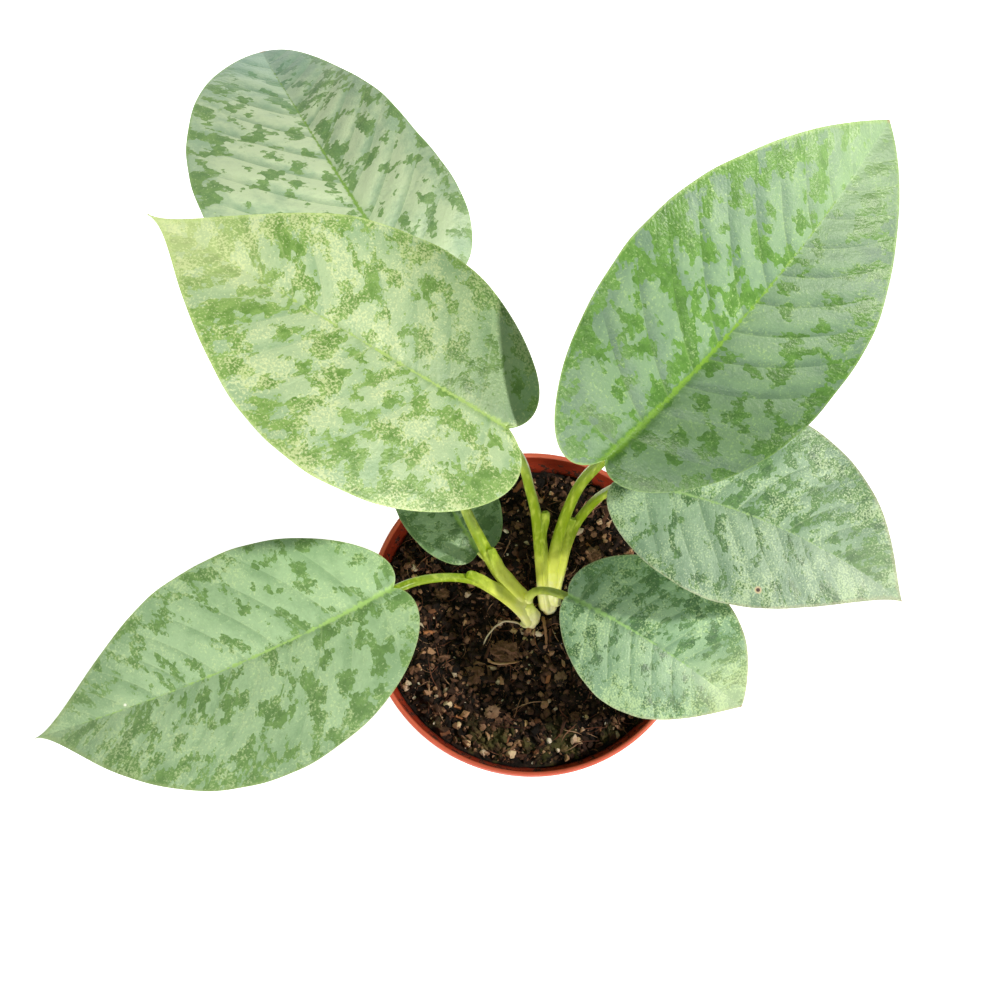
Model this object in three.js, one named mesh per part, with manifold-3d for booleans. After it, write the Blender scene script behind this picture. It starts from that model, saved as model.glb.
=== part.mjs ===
// A schismatoglottis with silvery variegated leaves in a thin round nursery pot, in millimetres.
// The origin is the centre of the pot's underside, +Z is up and the front of the plant is towards -Y.

import * as THREE from "three";
import { mergeVertices } from "three/addons/utils/BufferGeometryUtils.js";
import Module from "manifold-3d";

const wasm = await Module();
wasm.setup();

// Driving dimensions of the pot and what fills it
const GAP = 0.3;
const POT_HEIGHT = 105;
const RIM_RADIUS = 59.5;
const RIM_STEP = 1.8;
const LIP_WIDTH = 1.8;
const BASE_RADIUS = 43;
const BAND_HEIGHT = 9;
const WALL = 1.4;
const FLOOR = 1.8;
const DRAIN_HOLES = 8;
const DRAIN_RADIUS = 4;
const DRAIN_RING = 32;
const SOIL_BELOW_LIP = 9;
const SOIL_LEVEL = POT_HEIGHT - SOIL_BELOW_LIP;

// Driving dimensions of the plant
const BLADE_THICKNESS = 0.7;
const RIB_HEIGHT = 1;
const RIB_HALF_WIDTH = 1.6;
const SHEATH_LIFT = 2;
const SHEATH_WRAP = 1.15;
const STRAP_HALF_WIDTH = 1.5;
const WAVE_HEIGHT = 0.9;

const MATERIALS = {
  pot: new THREE.MeshStandardMaterial({ color: 0xb4512f, roughness: 0.5, metalness: 0 }),
  soil: new THREE.MeshStandardMaterial({ color: 0x2e1f18, roughness: 0.95, metalness: 0 }),
  crown: new THREE.MeshStandardMaterial({ color: 0xdfe0a4, roughness: 0.5, metalness: 0 }),
  stalk: new THREE.MeshStandardMaterial({ color: 0x9cb83c, roughness: 0.45, metalness: 0 }),
  blade: new THREE.MeshStandardMaterial({ color: 0x93b789, roughness: 0.5, metalness: 0 }),
};

// Each leaf: where its blade meets its stalk, then the way the midrib runs, all in millimetres and degrees.
// heading is the midrib's compass way seen from above, counted from +X, and turn is how far it swings.
// rise is its slope at the base, and droop is how much of that it loses by the tip.
// left is the share of the width on the left side. shoulder, taper and lobes have a value for the left side
// and one for the right: they shape the outline at the base, at the tip and in the ears behind the base.
// point narrows the last part, as far back as tipRun, into a drawn-out tip.
const LEAVES = {
  back_left: {
    base: [-36.4, 80.9, 190], length: 121, width: 78, heading: 125.3, turn: -11.3, rise: 19.7, droop: 52.4,
    roll: 11.7, fold: 8, left: 1.165, shoulder: [0.54, 0.24], taper: [0.85, 0.56], point: 0, tipRun: 0.07,
    lobes: [0.06, 0],
    stalk: {
      path: [[-1.2, -1.2, 99], [-3.2, 3.1, 105], [-6.2, 5.6, 111], [-11.9, 10.1, 122], [-17.8, 17, 139],
        [-22.5, 23.5, 155], [-26.5, 32.5, 169], [-31.2, 51.7, 181]],
      radii: [2.7, 1.5], sheath: 0.34, open: 20,
    },
  },
  left_high: {
    base: [-9.2, 33.5, 207], length: 117, width: 84, heading: 155.9, turn: -7, rise: 25.3, droop: 21.6,
    roll: 11.6, fold: 8, left: 1.05, shoulder: [0.61, 0.63], taper: [1.14, 1.15], point: 0.93, tipRun: 0.08,
    lobes: [0.1, 0.08],
    stalk: {
      path: [[5.4, 3.8, 100], [4.9, 6.5, 103], [4.1, 12, 112], [2.6, 17.9, 130], [0.7, 23, 152],
        [-1.7, 25.6, 171], [-4.8, 29, 190]],
      radii: [2.8, 1.8], sheath: 0.52, open: 60,
    },
  },
  right_high: {
    base: [19, 23.8, 207], length: 125.5, width: 75.7, heading: 38, turn: 20.7, rise: 30, droop: 29.4,
    roll: 26.9, fold: 9, left: 1.05, shoulder: [0.66, 0.63], taper: [0.95, 0.89], point: 0.15, tipRun: 0.03,
    lobes: [0.086, 0.045],
    stalk: {
      path: [[7, 4.4, 101], [7.2, 9, 106], [7.8, 15, 117], [9.3, 20.6, 136], [11.6, 24.4, 157],
        [14.4, 25.6, 180]],
      radii: [2.4, 1.8], sheath: 0.2, open: 0,
    },
  },
  right: {
    base: [25.4, 27.6, 174], length: 99, width: 63.7, heading: -11.3, turn: -22, rise: 8.3, droop: 29.7,
    roll: 9, fold: 9, left: 1.07, shoulder: [0.7, 0.63], taper: [0.95, 1.03], point: 0.52, tipRun: 0.104,
    lobes: [0.04, 0.044],
    stalk: {
      path: [[8, 4.6, 101], [8.8, 8.6, 104.5], [10, 12.6, 110], [12, 18.9, 123], [15, 23.5, 137],
        [18.2, 25.8, 148], [21.4, 26.9, 158]],
      radii: [2.7, 1.6], sheath: 0.6, open: -20,
    },
  },
  front_right: {
    base: [11.6, -2.3, 140], length: 71, width: 53.5, heading: -27.4, turn: -7.2, rise: 3.1, droop: 31.7,
    roll: 9.2, fold: 9, left: 1.045, shoulder: [0.59, 0.7], taper: [0.71, 0.96], point: 0.31, tipRun: 0.086,
    lobes: [0.039, 0.031],
    stalk: {
      path: [[-0.9, -0.6, 99], [-1.1, 2.6, 104], [-0.5, 3.6, 110], [1.3, 3.6, 118], [3.7, 2.5, 125],
        [6.8, 0.8, 131]],
      radii: [1.9, 1.4], sheath: 0.3, open: 0,
    },
  },
  left_low: {
    base: [-45.6, -3.6, 158], length: 122.8, width: 75.5, heading: 211.5, turn: -18, rise: 7.8, droop: 23,
    roll: 4, fold: 8, left: 1.035, shoulder: [0.63, 0.64], taper: [0.96, 0.94], point: 0.93, tipRun: 0.113,
    lobes: [0.055, 0.051],
    stalk: {
      path: [[-0.8, -2.2, 99], [-3.8, 0.2, 104.5], [-7.6, 2.1, 111], [-14, 4.1, 121], [-20.5, 5, 131],
        [-31, 2.5, 146], [-39.6, -0.9, 154]],
      radii: [2.9, 1.5], sheath: 0.6, open: 10,
    },
  },
  inner_small: {
    base: [-18.9, 16.7, 123], length: 57, width: 35, heading: 122, turn: 3, rise: 12, droop: 30,
    roll: 0, fold: 9, left: 1, shoulder: [0.5, 0.5], taper: [0.83, 0.83], point: 0.5, tipRun: 0.07,
    lobes: [0.05, 0.05],
    stalk: {
      path: [[-2.5, 1.4, 99], [-7.7, 9.3, 104], [-12.5, 13.8, 110.5], [-16.1, 15.7, 117.3]],
      radii: [1.8, 1.2], sheath: 0.35, open: 0,
    },
  },
};

// The two crowns: the middle line from below the mix up to where the stalks part, with its radii.
const CROWNS = {
  left: {
    path: [[0.2, -2.2, 74], [0.2, -2.2, 86], [0.2, -2.2, 95], [-0.1, -1.2, 100], [-0.8, 1, 106]],
    radii: [1.8, 3, 3.4, 3.5, 3],
  },
  right: {
    path: [[6.9, 1.8, 74], [6.9, 1.8, 86], [6.9, 2, 95], [6.8, 3.6, 101], [6.9, 7.4, 108]],
    radii: [1.8, 2.8, 3.2, 3.5, 3.2],
  },
};
const CROWN_STALKS = {
  left: ["front_right", "back_left", "left_low", "inner_small"],
  right: ["right_high", "left_high", "right"],
};

// Small shared sums
const radians = THREE.MathUtils.degToRad;
const mix = THREE.MathUtils.lerp;
const ease = (low, high, value) => THREE.MathUtils.smoothstep(value, low, high);
const point = ([x, y, z]) => new THREE.Vector3(x, y, z);

// A seeded draw between 0 and 1, so that the crumbs of the mix fall the same way each time
function seededDraw(seed) {
  let state = seed;
  return () => {
    state = (state * 1664525 + 1013904223) % 4294967296;
    return state / 4294967296;
  };
}

// One closed mesh from points and faces: equal points are merged and collapsed faces are dropped
function closedGeometry(points, faces) {
  const raw = new THREE.BufferGeometry();
  raw.setAttribute("position", new THREE.Float32BufferAttribute(points.flatMap((p) => p.toArray()), 3));
  raw.setIndex(faces.flat());
  const merged = mergeVertices(raw, 1e-3);
  const index = Array.from(merged.index.array);
  const kept = [];
  for (let i = 0; i < index.length; i += 3) {
    const [a, b, c] = index.slice(i, i + 3);
    if (a !== b && b !== c && c !== a) kept.push(a, b, c);
  }
  merged.setIndex(kept);
  return merged;
}

// Between a mesh and a solid that can be cut and joined
function toSolid(geometry) {
  const bare = geometry.clone();
  bare.deleteAttribute("normal");
  bare.deleteAttribute("uv");
  const merged = mergeVertices(bare, 1e-3);
  const mesh = new wasm.Mesh({
    numProp: 3,
    vertProperties: new Float32Array(merged.attributes.position.array),
    triVerts: new Uint32Array(merged.index.array),
  });
  return new wasm.Manifold(mesh);
}

function toGeometry(solid) {
  const mesh = solid.getMesh();
  const geometry = new THREE.BufferGeometry();
  geometry.setAttribute("position", new THREE.BufferAttribute(mesh.vertProperties, 3));
  geometry.setIndex(new THREE.BufferAttribute(mesh.triVerts, 1));
  return geometry;
}

// A cut can leave a loose scrap beside the body: only the body is kept
function largestBody(solid) {
  return solid.decompose().reduce((best, body) => (body.volume() > best.volume() ? body : best));
}

function namedMesh(name, geometry, material) {
  const shaded = geometry.clone();
  shaded.computeVertexNormals();
  const mesh = new THREE.Mesh(shaded, material);
  mesh.name = name;
  return mesh;
}

// A closed body through rings of points that run counterclockwise about the way they follow
function loft(rings) {
  const count = rings[0].length;
  const last = (rings.length - 1) * count;
  const faces = [];
  for (let row = 0; row + 1 < rings.length; row++) {
    for (let i = 0; i < count; i++) {
      const a = row * count + i;
      const b = row * count + ((i + 1) % count);
      faces.push([a, b, b + count], [a, b + count, a + count]);
    }
  }
  for (let i = 1; i + 1 < count; i++) {
    faces.push([0, i + 1, i], [last, last + i, last + i + 1]);
  }
  return closedGeometry(rings.flat(), faces);
}

// An oval ring about a point, flat across the way the stem runs, with its height towards `up`
function ovalRing(centre, way, up, halfWidth, halfHeight, sides) {
  const height = up.clone().addScaledVector(way, -up.dot(way)).normalize();
  const across = height.clone().cross(way).normalize();
  const ring = [];
  for (let i = 0; i < sides; i++) {
    const angle = (2 * Math.PI * i) / sides;
    ring.push(centre.clone()
      .addScaledVector(across, halfWidth * Math.cos(angle))
      .addScaledVector(height, halfHeight * Math.sin(angle)));
  }
  return ring;
}

// Pot: turned thin plastic with a stepped rim band, a rounded lip and a ring of drainage holes in its floor
function potWall(height) {
  const bodyTop = RIM_RADIUS - RIM_STEP;
  return mix(BASE_RADIUS, bodyTop, height / (POT_HEIGHT - BAND_HEIGHT));
}

function makePot() {
  const band = POT_HEIGHT - BAND_HEIGHT;
  const lipInside = RIM_RADIUS - LIP_WIDTH;
  const profile = [
    [0, 0], [BASE_RADIUS - 1.2, 0], [BASE_RADIUS, 1.4], [potWall(band), band], [RIM_RADIUS - 0.6, band + 0.5],
    [RIM_RADIUS, POT_HEIGHT - 0.9], [RIM_RADIUS - 0.5, POT_HEIGHT], [lipInside + 0.5, POT_HEIGHT],
    [lipInside, POT_HEIGHT - 0.8], [lipInside - 0.4, band + 1.4], [potWall(band) - WALL, band - 1],
    [potWall(FLOOR) - WALL, FLOOR], [0, FLOOR],
  ].map(([radius, height]) => new THREE.Vector2(radius, height));
  const turned = new THREE.LatheGeometry(profile, 64);
  turned.rotateX(Math.PI / 2);
  let pot = toSolid(turned);
  for (let hole = 0; hole < DRAIN_HOLES; hole++) {
    const angle = (2 * Math.PI * (hole + 0.5)) / DRAIN_HOLES;
    const drill = new THREE.CylinderGeometry(DRAIN_RADIUS, DRAIN_RADIUS, 4 * FLOOR, 12);
    drill.rotateX(Math.PI / 2);
    drill.translate(DRAIN_RING * Math.cos(angle), DRAIN_RING * Math.sin(angle), 0);
    pot = pot.subtract(toSolid(drill));
  }
  return toGeometry(pot);
}

// Potting mix: a filling with an uneven top, crumbs and bark chips sunk into it, and a hole for each crown
function soilRelief(x, y) {
  const broad = Math.sin(x / 9 + 1.3) * Math.cos(y / 11 - 0.4);
  const fine = Math.sin(x / 3.1 - y / 4.3) * Math.cos(y / 2.7 + x / 5.2);
  return 0.9 * broad + 0.6 * fine;
}

function soilBody() {
  const spokes = 48;
  const rings = 11;
  const underside = FLOOR + GAP;
  const topRadius = potWall(SOIL_LEVEL - 2) - WALL - GAP;
  const points = [new THREE.Vector3(0, 0, SOIL_LEVEL + soilRelief(0, 0))];
  const faces = [];
  const addRing = (radius, height) => {
    for (let i = 0; i < spokes; i++) {
      const angle = (2 * Math.PI * i) / spokes;
      const x = radius * Math.cos(angle);
      const y = radius * Math.sin(angle);
      points.push(new THREE.Vector3(x, y, height(x, y)));
    }
  };
  for (let ring = 1; ring <= rings; ring++) {
    const sink = 1.2 * ease(rings - 2, rings, ring);
    addRing((topRadius * ring) / rings, (x, y) => SOIL_LEVEL + soilRelief(x, y) - 0.6 - sink);
  }
  addRing(potWall(underside) - WALL - GAP, () => underside);
  const foot = points.length;
  points.push(new THREE.Vector3(0, 0, underside));
  for (let i = 0; i < spokes; i++) {
    const next = (i + 1) % spokes;
    faces.push([0, 1 + i, 1 + next]);
    for (let ring = 0; ring < rings; ring++) {
      const inner = 1 + ring * spokes;
      const outer = inner + spokes;
      faces.push([inner + i, outer + i, outer + next], [inner + i, outer + next, inner + next]);
    }
    const edge = 1 + rings * spokes;
    faces.push([foot, edge + next, edge + i]);
  }
  return toSolid(closedGeometry(points, faces));
}

function soilCrumb(draw, size) {
  const crumb = new THREE.IcosahedronGeometry(size, 0);
  crumb.deleteAttribute("normal");
  crumb.deleteAttribute("uv");
  const whole = mergeVertices(crumb, 1e-3);
  whole.scale(mix(0.7, 1.5, draw()), mix(0.7, 1.3, draw()), mix(0.5, 0.9, draw()));
  whole.rotateZ(2 * Math.PI * draw());
  whole.rotateX(0.5 * draw());
  return whole;
}

function makeSoil(crownSolids) {
  const draw = seededDraw(7);
  const crumbs = 34;
  let soil = soilBody();
  for (let i = 0; i < crumbs; i++) {
    const radius = 48 * Math.sqrt((i + 0.5) / crumbs);
    const angle = i * 2.39996 + 0.4 * draw();
    const x = radius * Math.cos(angle);
    const y = radius * Math.sin(angle);
    const crumb = soilCrumb(draw, mix(1.6, 3.2, draw() ** 2));
    crumb.translate(x, y, SOIL_LEVEL - 0.4 + soilRelief(x, y));
    soil = soil.add(toSolid(crumb));
  }
  for (const hole of crownSolids) soil = soil.subtract(hole);
  return toGeometry(largestBody(soil));
}

// Crowns: the short cream stems that the stalks grow from, seated in the mix
function crownSolid(crown, grow) {
  const curve = new THREE.CatmullRomCurve3(crown.path.map(point));
  const steps = 9;
  const rings = [];
  for (let i = 0; i <= steps; i++) {
    const along = (i / steps) * (crown.radii.length - 1);
    const from = Math.min(Math.floor(along), crown.radii.length - 2);
    const radius = mix(crown.radii[from], crown.radii[from + 1], along - from) + grow;
    const way = curve.getTangent(i / steps);
    rings.push(ovalRing(curve.getPoint(i / steps), way, new THREE.Vector3(0, 1, 0), radius, radius, 12));
  }
  return toSolid(loft(rings));
}

// Blades: each surface point lies off the midrib, in the frame that rides along it
function midribWay(leaf, along) {
  const run = THREE.MathUtils.clamp(along, 0, 1);
  const heading = radians(leaf.heading + leaf.turn * run);
  const slope = radians(leaf.rise - leaf.droop * run);
  return new THREE.Vector3(
    Math.cos(slope) * Math.cos(heading), Math.cos(slope) * Math.sin(heading), Math.sin(slope));
}

function midribPoint(leaf, along) {
  const place = point(leaf.base);
  if (along <= 0) return place.addScaledVector(midribWay(leaf, 0), leaf.length * along);
  const steps = 24;
  for (let i = 0; i < steps; i++) {
    place.addScaledVector(midribWay(leaf, (along * (i + 0.5)) / steps), (leaf.length * along) / steps);
  }
  return place;
}

function bladeFrame(leaf, along) {
  const run = THREE.MathUtils.clamp(along, 0, 1);
  const way = midribWay(leaf, along);
  const heading = radians(leaf.heading + leaf.turn * run);
  const level = new THREE.Vector3(-Math.sin(heading), Math.cos(heading), 0);
  const side = level.applyAxisAngle(way, radians(leaf.roll));
  return { side, up: way.clone().cross(side) };
}

// step runs from 0 at the base to 1 at the tip, and across from -1 at the right margin to 1 at the left
function bladePoint(leaf, step, across) {
  const arc = Math.PI * step;
  const reach = (1 - Math.cos(arc)) / 2;
  const half = across > 0 ? 0 : 1;
  const shoulder = leaf.shoulder[half];
  const taper = leaf.taper[half];
  const peak = shoulder / (shoulder + taper);
  const widest = peak ** shoulder * (1 - peak) ** taper;
  const narrowing = 1 - leaf.point * Math.exp((reach - 1) / leaf.tipRun);
  const spread = (reach ** shoulder * (1 - reach) ** taper * narrowing) / widest;
  const ear = Math.min(arc / 1.3, 1);
  const lobe = leaf.lobes[half];
  const marginReach = reach - lobe * 6.75 * ear * (1 - ear) ** 2;
  const ribReach = reach - 0.42 * reach * (1 - reach);
  const sweep = 0.6 * Math.abs(across) + 0.4 * across * across;
  const along = mix(ribReach, marginReach, sweep);
  const share = across > 0 ? leaf.left : 2 - leaf.left;
  const offset = (leaf.width / 2) * spread * across * share;
  const dish = 0.1 * (leaf.width / 2) * (offset / (leaf.width / 2)) ** 2;
  const wave = WAVE_HEIGHT * spread * Math.abs(across) ** 3 * Math.sin(5 * along * Math.PI + 2 * across);
  const lift = Math.abs(offset) * Math.sin(radians(leaf.fold)) - dish + wave;
  const { side, up } = bladeFrame(leaf, along);
  const place = midribPoint(leaf, along)
    .addScaledVector(side, offset * Math.cos(radians(leaf.fold)))
    .addScaledVector(up, lift);
  const rib = RIB_HEIGHT * Math.exp(-((offset / RIB_HALF_WIDTH) ** 2)) * (1 - 0.8 * reach);
  return { place, up, rib };
}

function bladeSolid(leaf, grow) {
  const rows = 20;
  const columns = [-1, -0.78, -0.52, -0.26, -0.07, 0, 0.07, 0.26, 0.52, 0.78, 1];
  const top = [];
  const bottom = [];
  for (let row = 0; row <= rows; row++) {
    for (const across of columns) {
      const { place, up, rib } = bladePoint(leaf, row / rows, across);
      top.push(place.clone().addScaledVector(up, BLADE_THICKNESS / 2 + grow));
      bottom.push(place.clone().addScaledVector(up, -BLADE_THICKNESS / 2 - rib - grow));
    }
  }
  const under = top.length;
  const wide = columns.length;
  const faces = [];
  for (let row = 0; row < rows; row++) {
    for (let column = 0; column + 1 < wide; column++) {
      const a = row * wide + column;
      const b = a + wide;
      faces.push([a, b, b + 1], [a, b + 1, a + 1]);
      faces.push([under + a, under + b + 1, under + b], [under + a, under + a + 1, under + b + 1]);
    }
    const right = row * wide;
    const left = right + wide - 1;
    faces.push([right, under + right, under + right + wide], [right, under + right + wide, right + wide]);
    faces.push([left, under + left + wide, under + left], [left, left + wide, under + left + wide]);
  }
  return toSolid(closedGeometry([...top, ...bottom], faces));
}

// Stalks: a tapering stem with a sheath along the inside of its lower part that ends in a small free strap
function stalkCurve(leaf) {
  const { up } = bladeFrame(leaf, 0);
  const seat = point(leaf.base)
    .addScaledVector(up, -RIB_HEIGHT - leaf.stalk.radii[1] / 2)
    .addScaledVector(midribWay(leaf, 0), 2.5);
  return new THREE.CatmullRomCurve3([...leaf.stalk.path.map(point), seat], false, "centripetal");
}

function stalkSolid(leaf, grow) {
  const { radii, sheath, open } = leaf.stalk;
  const curve = stalkCurve(leaf);
  const radiusAt = (run) => mix(radii[0], radii[1], ease(0, 0.7, run));
  const inward = (way) => {
    const rising = new THREE.Vector3(0, 0, 1).addScaledVector(way, -way.z).normalize();
    return rising.applyAxisAngle(way, radians(open));
  };
  const stem = [];
  const stemSteps = 12;
  for (let i = 0; i <= stemSteps; i++) {
    const run = i / stemSteps;
    const way = curve.getTangentAt(run);
    const radius = radiusAt(run) + grow;
    stem.push(ovalRing(curve.getPointAt(run), way, inward(way), radius, 0.92 * radius, 9));
  }
  const strap = [];
  const strapSteps = 7;
  for (let i = 0; i <= strapSteps; i++) {
    const run = mix(0.06, sheath, i / strapSteps);
    const way = curve.getTangentAt(run);
    const up = inward(way);
    const free = ease(0.6, 1, i / strapSteps);
    const lift = 0.5 * radiusAt(run) + SHEATH_LIFT * free;
    const centre = curve.getPointAt(run).addScaledVector(up, lift);
    const halfWidth = mix(SHEATH_WRAP * radiusAt(run), STRAP_HALF_WIDTH, free) + grow;
    strap.push(ovalRing(centre, way, up, halfWidth, mix(1, 0.55, free) + grow, 8));
  }
  return toSolid(loft(stem)).add(toSolid(loft(strap)));
}

// The whole plant in its pot
const plant = new THREE.Group();
plant.add(namedMesh("pot", makePot(), MATERIALS.pot));
const crownHoles = Object.values(CROWNS).map((crown) => crownSolid(crown, GAP));
plant.add(namedMesh("soil", makeSoil(crownHoles), MATERIALS.soil));
for (const [shoot, crown] of Object.entries(CROWNS)) {
  plant.add(namedMesh(`crown_${shoot}`, toGeometry(crownSolid(crown, 0)), MATERIALS.crown));
  const seated = [crownSolid(crown, GAP)];
  for (const name of CROWN_STALKS[shoot]) {
    const leaf = LEAVES[name];
    let stalk = stalkSolid(leaf, 0).subtract(bladeSolid(leaf, GAP));
    for (const neighbour of seated) stalk = stalk.subtract(neighbour);
    plant.add(namedMesh(`stalk_${name}`, toGeometry(largestBody(stalk)), MATERIALS.stalk));
    plant.add(namedMesh(`blade_${name}`, toGeometry(bladeSolid(leaf, 0)), MATERIALS.blade));
    seated.push(stalkSolid(leaf, GAP));
  }
}

export default plant;
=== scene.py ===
# A schismatoglottis with silvery variegated leaves, growing from two shoots in a thin round nursery pot.
# Lengths are in millimetres, and MM turns them into metres where a mesh is made. Materials read metres.
import functools
import math
import random
from types import SimpleNamespace

import bmesh
import bpy
import numpy as np
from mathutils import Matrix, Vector, noise


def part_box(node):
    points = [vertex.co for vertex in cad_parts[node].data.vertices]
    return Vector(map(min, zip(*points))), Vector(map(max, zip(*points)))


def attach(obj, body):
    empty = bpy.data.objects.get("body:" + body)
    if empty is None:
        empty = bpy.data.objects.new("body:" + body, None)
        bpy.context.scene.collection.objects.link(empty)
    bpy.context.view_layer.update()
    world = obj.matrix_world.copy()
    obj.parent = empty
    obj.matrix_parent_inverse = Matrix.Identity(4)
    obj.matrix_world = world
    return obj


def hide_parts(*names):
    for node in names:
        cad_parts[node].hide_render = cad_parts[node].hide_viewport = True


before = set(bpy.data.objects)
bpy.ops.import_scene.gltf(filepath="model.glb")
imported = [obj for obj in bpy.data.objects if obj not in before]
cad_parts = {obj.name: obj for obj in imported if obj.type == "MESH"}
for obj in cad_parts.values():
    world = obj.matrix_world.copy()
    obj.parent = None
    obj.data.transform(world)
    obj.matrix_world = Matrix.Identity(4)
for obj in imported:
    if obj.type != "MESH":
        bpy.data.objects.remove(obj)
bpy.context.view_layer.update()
MM = 0.001


# Camera: it looks down on the plant from in front, 16 degrees off straight down.
# At that height the rim of the pot is a slightly flattened circle and the near leaves look larger.
CAMERA_PLACE = (-0.0112, -0.082, 0.5336)
CAMERA_TILT = 16
bpy.ops.object.camera_add(location=CAMERA_PLACE, rotation=(math.radians(CAMERA_TILT), 0, 0))
camera = bpy.context.object
camera.name = "camera_above"
camera.data.sensor_width = 36
camera.data.lens = 43.2
bpy.context.scene.camera = camera


# Pot: a thin round nursery pot, moulded in one piece from terracotta-coloured plastic.
# Its wall leans out to a stepped rim band with a rounded lip, and its floor has a ring of drain holes.
# It is clean outside, with painted shade darkening the wall below the band. Inside, the plastic is a darker
# copy painted as shade, and soiled along the mix.
POT_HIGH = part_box("pot")[1]
POT_HEIGHT = POT_HIGH.z / MM
RIM_RADIUS = POT_HIGH.x / MM
BASE_RADIUS = 43
BAND_HEIGHT = 9
BAND_BOTTOM = POT_HEIGHT - BAND_HEIGHT
RIM_STEP = 1.8
LIP_WIDTH = 1.8
WALL = 1.4
FLOOR = 1.8
DRAIN_HOLES = 8
DRAIN_RADIUS = 4
DRAIN_RING = 32
POT_SPOKES = 160


def pot_wall(height):
    """The radius of the wall's outside at a height"""
    return BASE_RADIUS + (RIM_RADIUS - RIM_STEP - BASE_RADIUS) * height / BAND_BOTTOM


def deselect_all():
    if bpy.context.mode != "OBJECT":
        bpy.ops.object.mode_set(mode="OBJECT")
    bpy.ops.object.select_all(action="DESELECT")


def make_active(piece):
    deselect_all()
    piece.select_set(True)
    bpy.context.view_layer.objects.active = piece


def apply_modifier(piece, kind, **settings):
    make_active(piece)
    modifier = piece.modifiers.new(kind.lower(), kind)
    for name, value in settings.items():
        setattr(modifier, name, value)
    bpy.ops.object.modifier_apply(modifier=modifier.name)


def tidy_shell(piece, seam=0.01):
    """Welds the seam of a shell, fills its open ends and turns its faces out"""
    make_active(piece)
    bpy.ops.object.mode_set(mode="EDIT")
    bpy.ops.mesh.select_all(action="SELECT")
    bpy.ops.mesh.remove_doubles(threshold=seam * MM)
    bpy.ops.mesh.fill_holes(sides=0)
    bpy.ops.mesh.select_all(action="SELECT")
    bpy.ops.mesh.normals_make_consistent(inside=False)
    bpy.ops.object.mode_set(mode="OBJECT")
    shell = bmesh.new()
    shell.from_mesh(piece.data)
    if shell.calc_volume(signed=True) < 0:
        bmesh.ops.reverse_faces(shell, faces=shell.faces)
    shell.to_mesh(piece.data)
    shell.free()


def pot_profile():
    """Half of the pot's section: under the floor, up the outside, over the lip and down the inside"""
    foot = [(0, 0), (BASE_RADIUS - 1.45, 0), (BASE_RADIUS - 1.2, 0), (BASE_RADIUS - 0.3, 0.4),
            (BASE_RADIUS, 1.4)]
    outside = [(pot_wall(height), height) for height in np.linspace(6, BAND_BOTTOM - 1, 12)]
    step = [(pot_wall(BAND_BOTTOM), BAND_BOTTOM), (RIM_RADIUS - 0.9, BAND_BOTTOM + 0.2),
            (RIM_RADIUS - 0.6, BAND_BOTTOM + 0.6)]
    half_lip = LIP_WIDTH / 2
    lip = []
    for angle in range(0, 181, 20):
        turn = math.radians(angle)
        lip.append((RIM_RADIUS - half_lip + half_lip * math.cos(turn),
                    POT_HEIGHT - half_lip + half_lip * math.sin(turn)))
    band_radius = RIM_RADIUS - LIP_WIDTH
    band_inside = [(band_radius - 0.2, POT_HEIGHT - 4), (band_radius - 0.4, BAND_BOTTOM + 1.4)]
    inside = [(pot_wall(height) - WALL, height) for height in np.linspace(BAND_BOTTOM - 1, FLOOR + 2, 8)]
    floor = [(pot_wall(FLOOR) - WALL - 1, FLOOR), (0, FLOOR)]
    return foot + outside + step + lip + band_inside + inside + floor


def new_piece(name, corners, edges, faces):
    """A piece made from its corners in millimetres, and its edges or its faces"""
    mesh = bpy.data.meshes.new(name)
    mesh.from_pydata(np.array(corners, float) * MM, edges, faces)
    piece = bpy.data.objects.new(name, mesh)
    bpy.context.collection.objects.link(piece)
    return piece


def turned_pot():
    corners = [(radius, 0, height) for radius, height in pot_profile()]
    piece = new_piece("pot_plastic", corners, [(i, i + 1) for i in range(len(corners) - 1)], [])
    make_active(piece)
    bpy.ops.object.mode_set(mode="EDIT")
    bpy.ops.mesh.select_all(action="SELECT")
    bpy.ops.mesh.spin(steps=POT_SPOKES, angle=2 * math.pi, center=(0, 0, 0), axis=(0, 0, 1))
    bpy.ops.object.mode_set(mode="OBJECT")
    tidy_shell(piece)
    return piece


def drill_drainage(pot):
    for hole in range(DRAIN_HOLES):
        turn = 2 * math.pi * (hole + 0.5) / DRAIN_HOLES
        place = (DRAIN_RING * MM * math.cos(turn), DRAIN_RING * MM * math.sin(turn), FLOOR * MM / 2)
        deselect_all()
        bpy.ops.mesh.primitive_cylinder_add(vertices=32, radius=DRAIN_RADIUS * MM, depth=4 * FLOOR * MM,
                                            location=place)
        drill = bpy.context.object
        apply_modifier(pot, "BOOLEAN", object=drill, operation="DIFFERENCE", solver="EXACT")
        bpy.data.objects.remove(drill)
    tidy_shell(pot, seam=0.002)


def feed(node, inputs):
    """Sets a shader node's inputs: each is another node's output, or a plain value"""
    for key, value in inputs.items():
        if isinstance(value, bpy.types.NodeSocket):
            node.id_data.links.new(value, node.inputs[key])
        else:
            node.inputs[key].default_value = value


def put(tree, kind, inputs=None, **settings):
    node = tree.nodes.new("ShaderNode" + kind)
    for name, value in settings.items():
        setattr(node, name, value)
    feed(node, inputs or {})
    return node


def after(kind, inputs, output=0, **settings):
    """Puts a node beside the ones that its inputs come from, and gives its output"""
    tree = next(value.id_data for value in inputs.values() if isinstance(value, bpy.types.NodeSocket))
    return put(tree, kind, inputs, **settings).outputs[output]


def maths(operation, *values):
    return after("Math", dict(enumerate(values)), operation=operation)


def plus(*values):
    return functools.reduce(lambda a, b: maths("ADD", a, b), values)


def times(*values):
    return functools.reduce(lambda a, b: maths("MULTIPLY", a, b), values)


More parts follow.
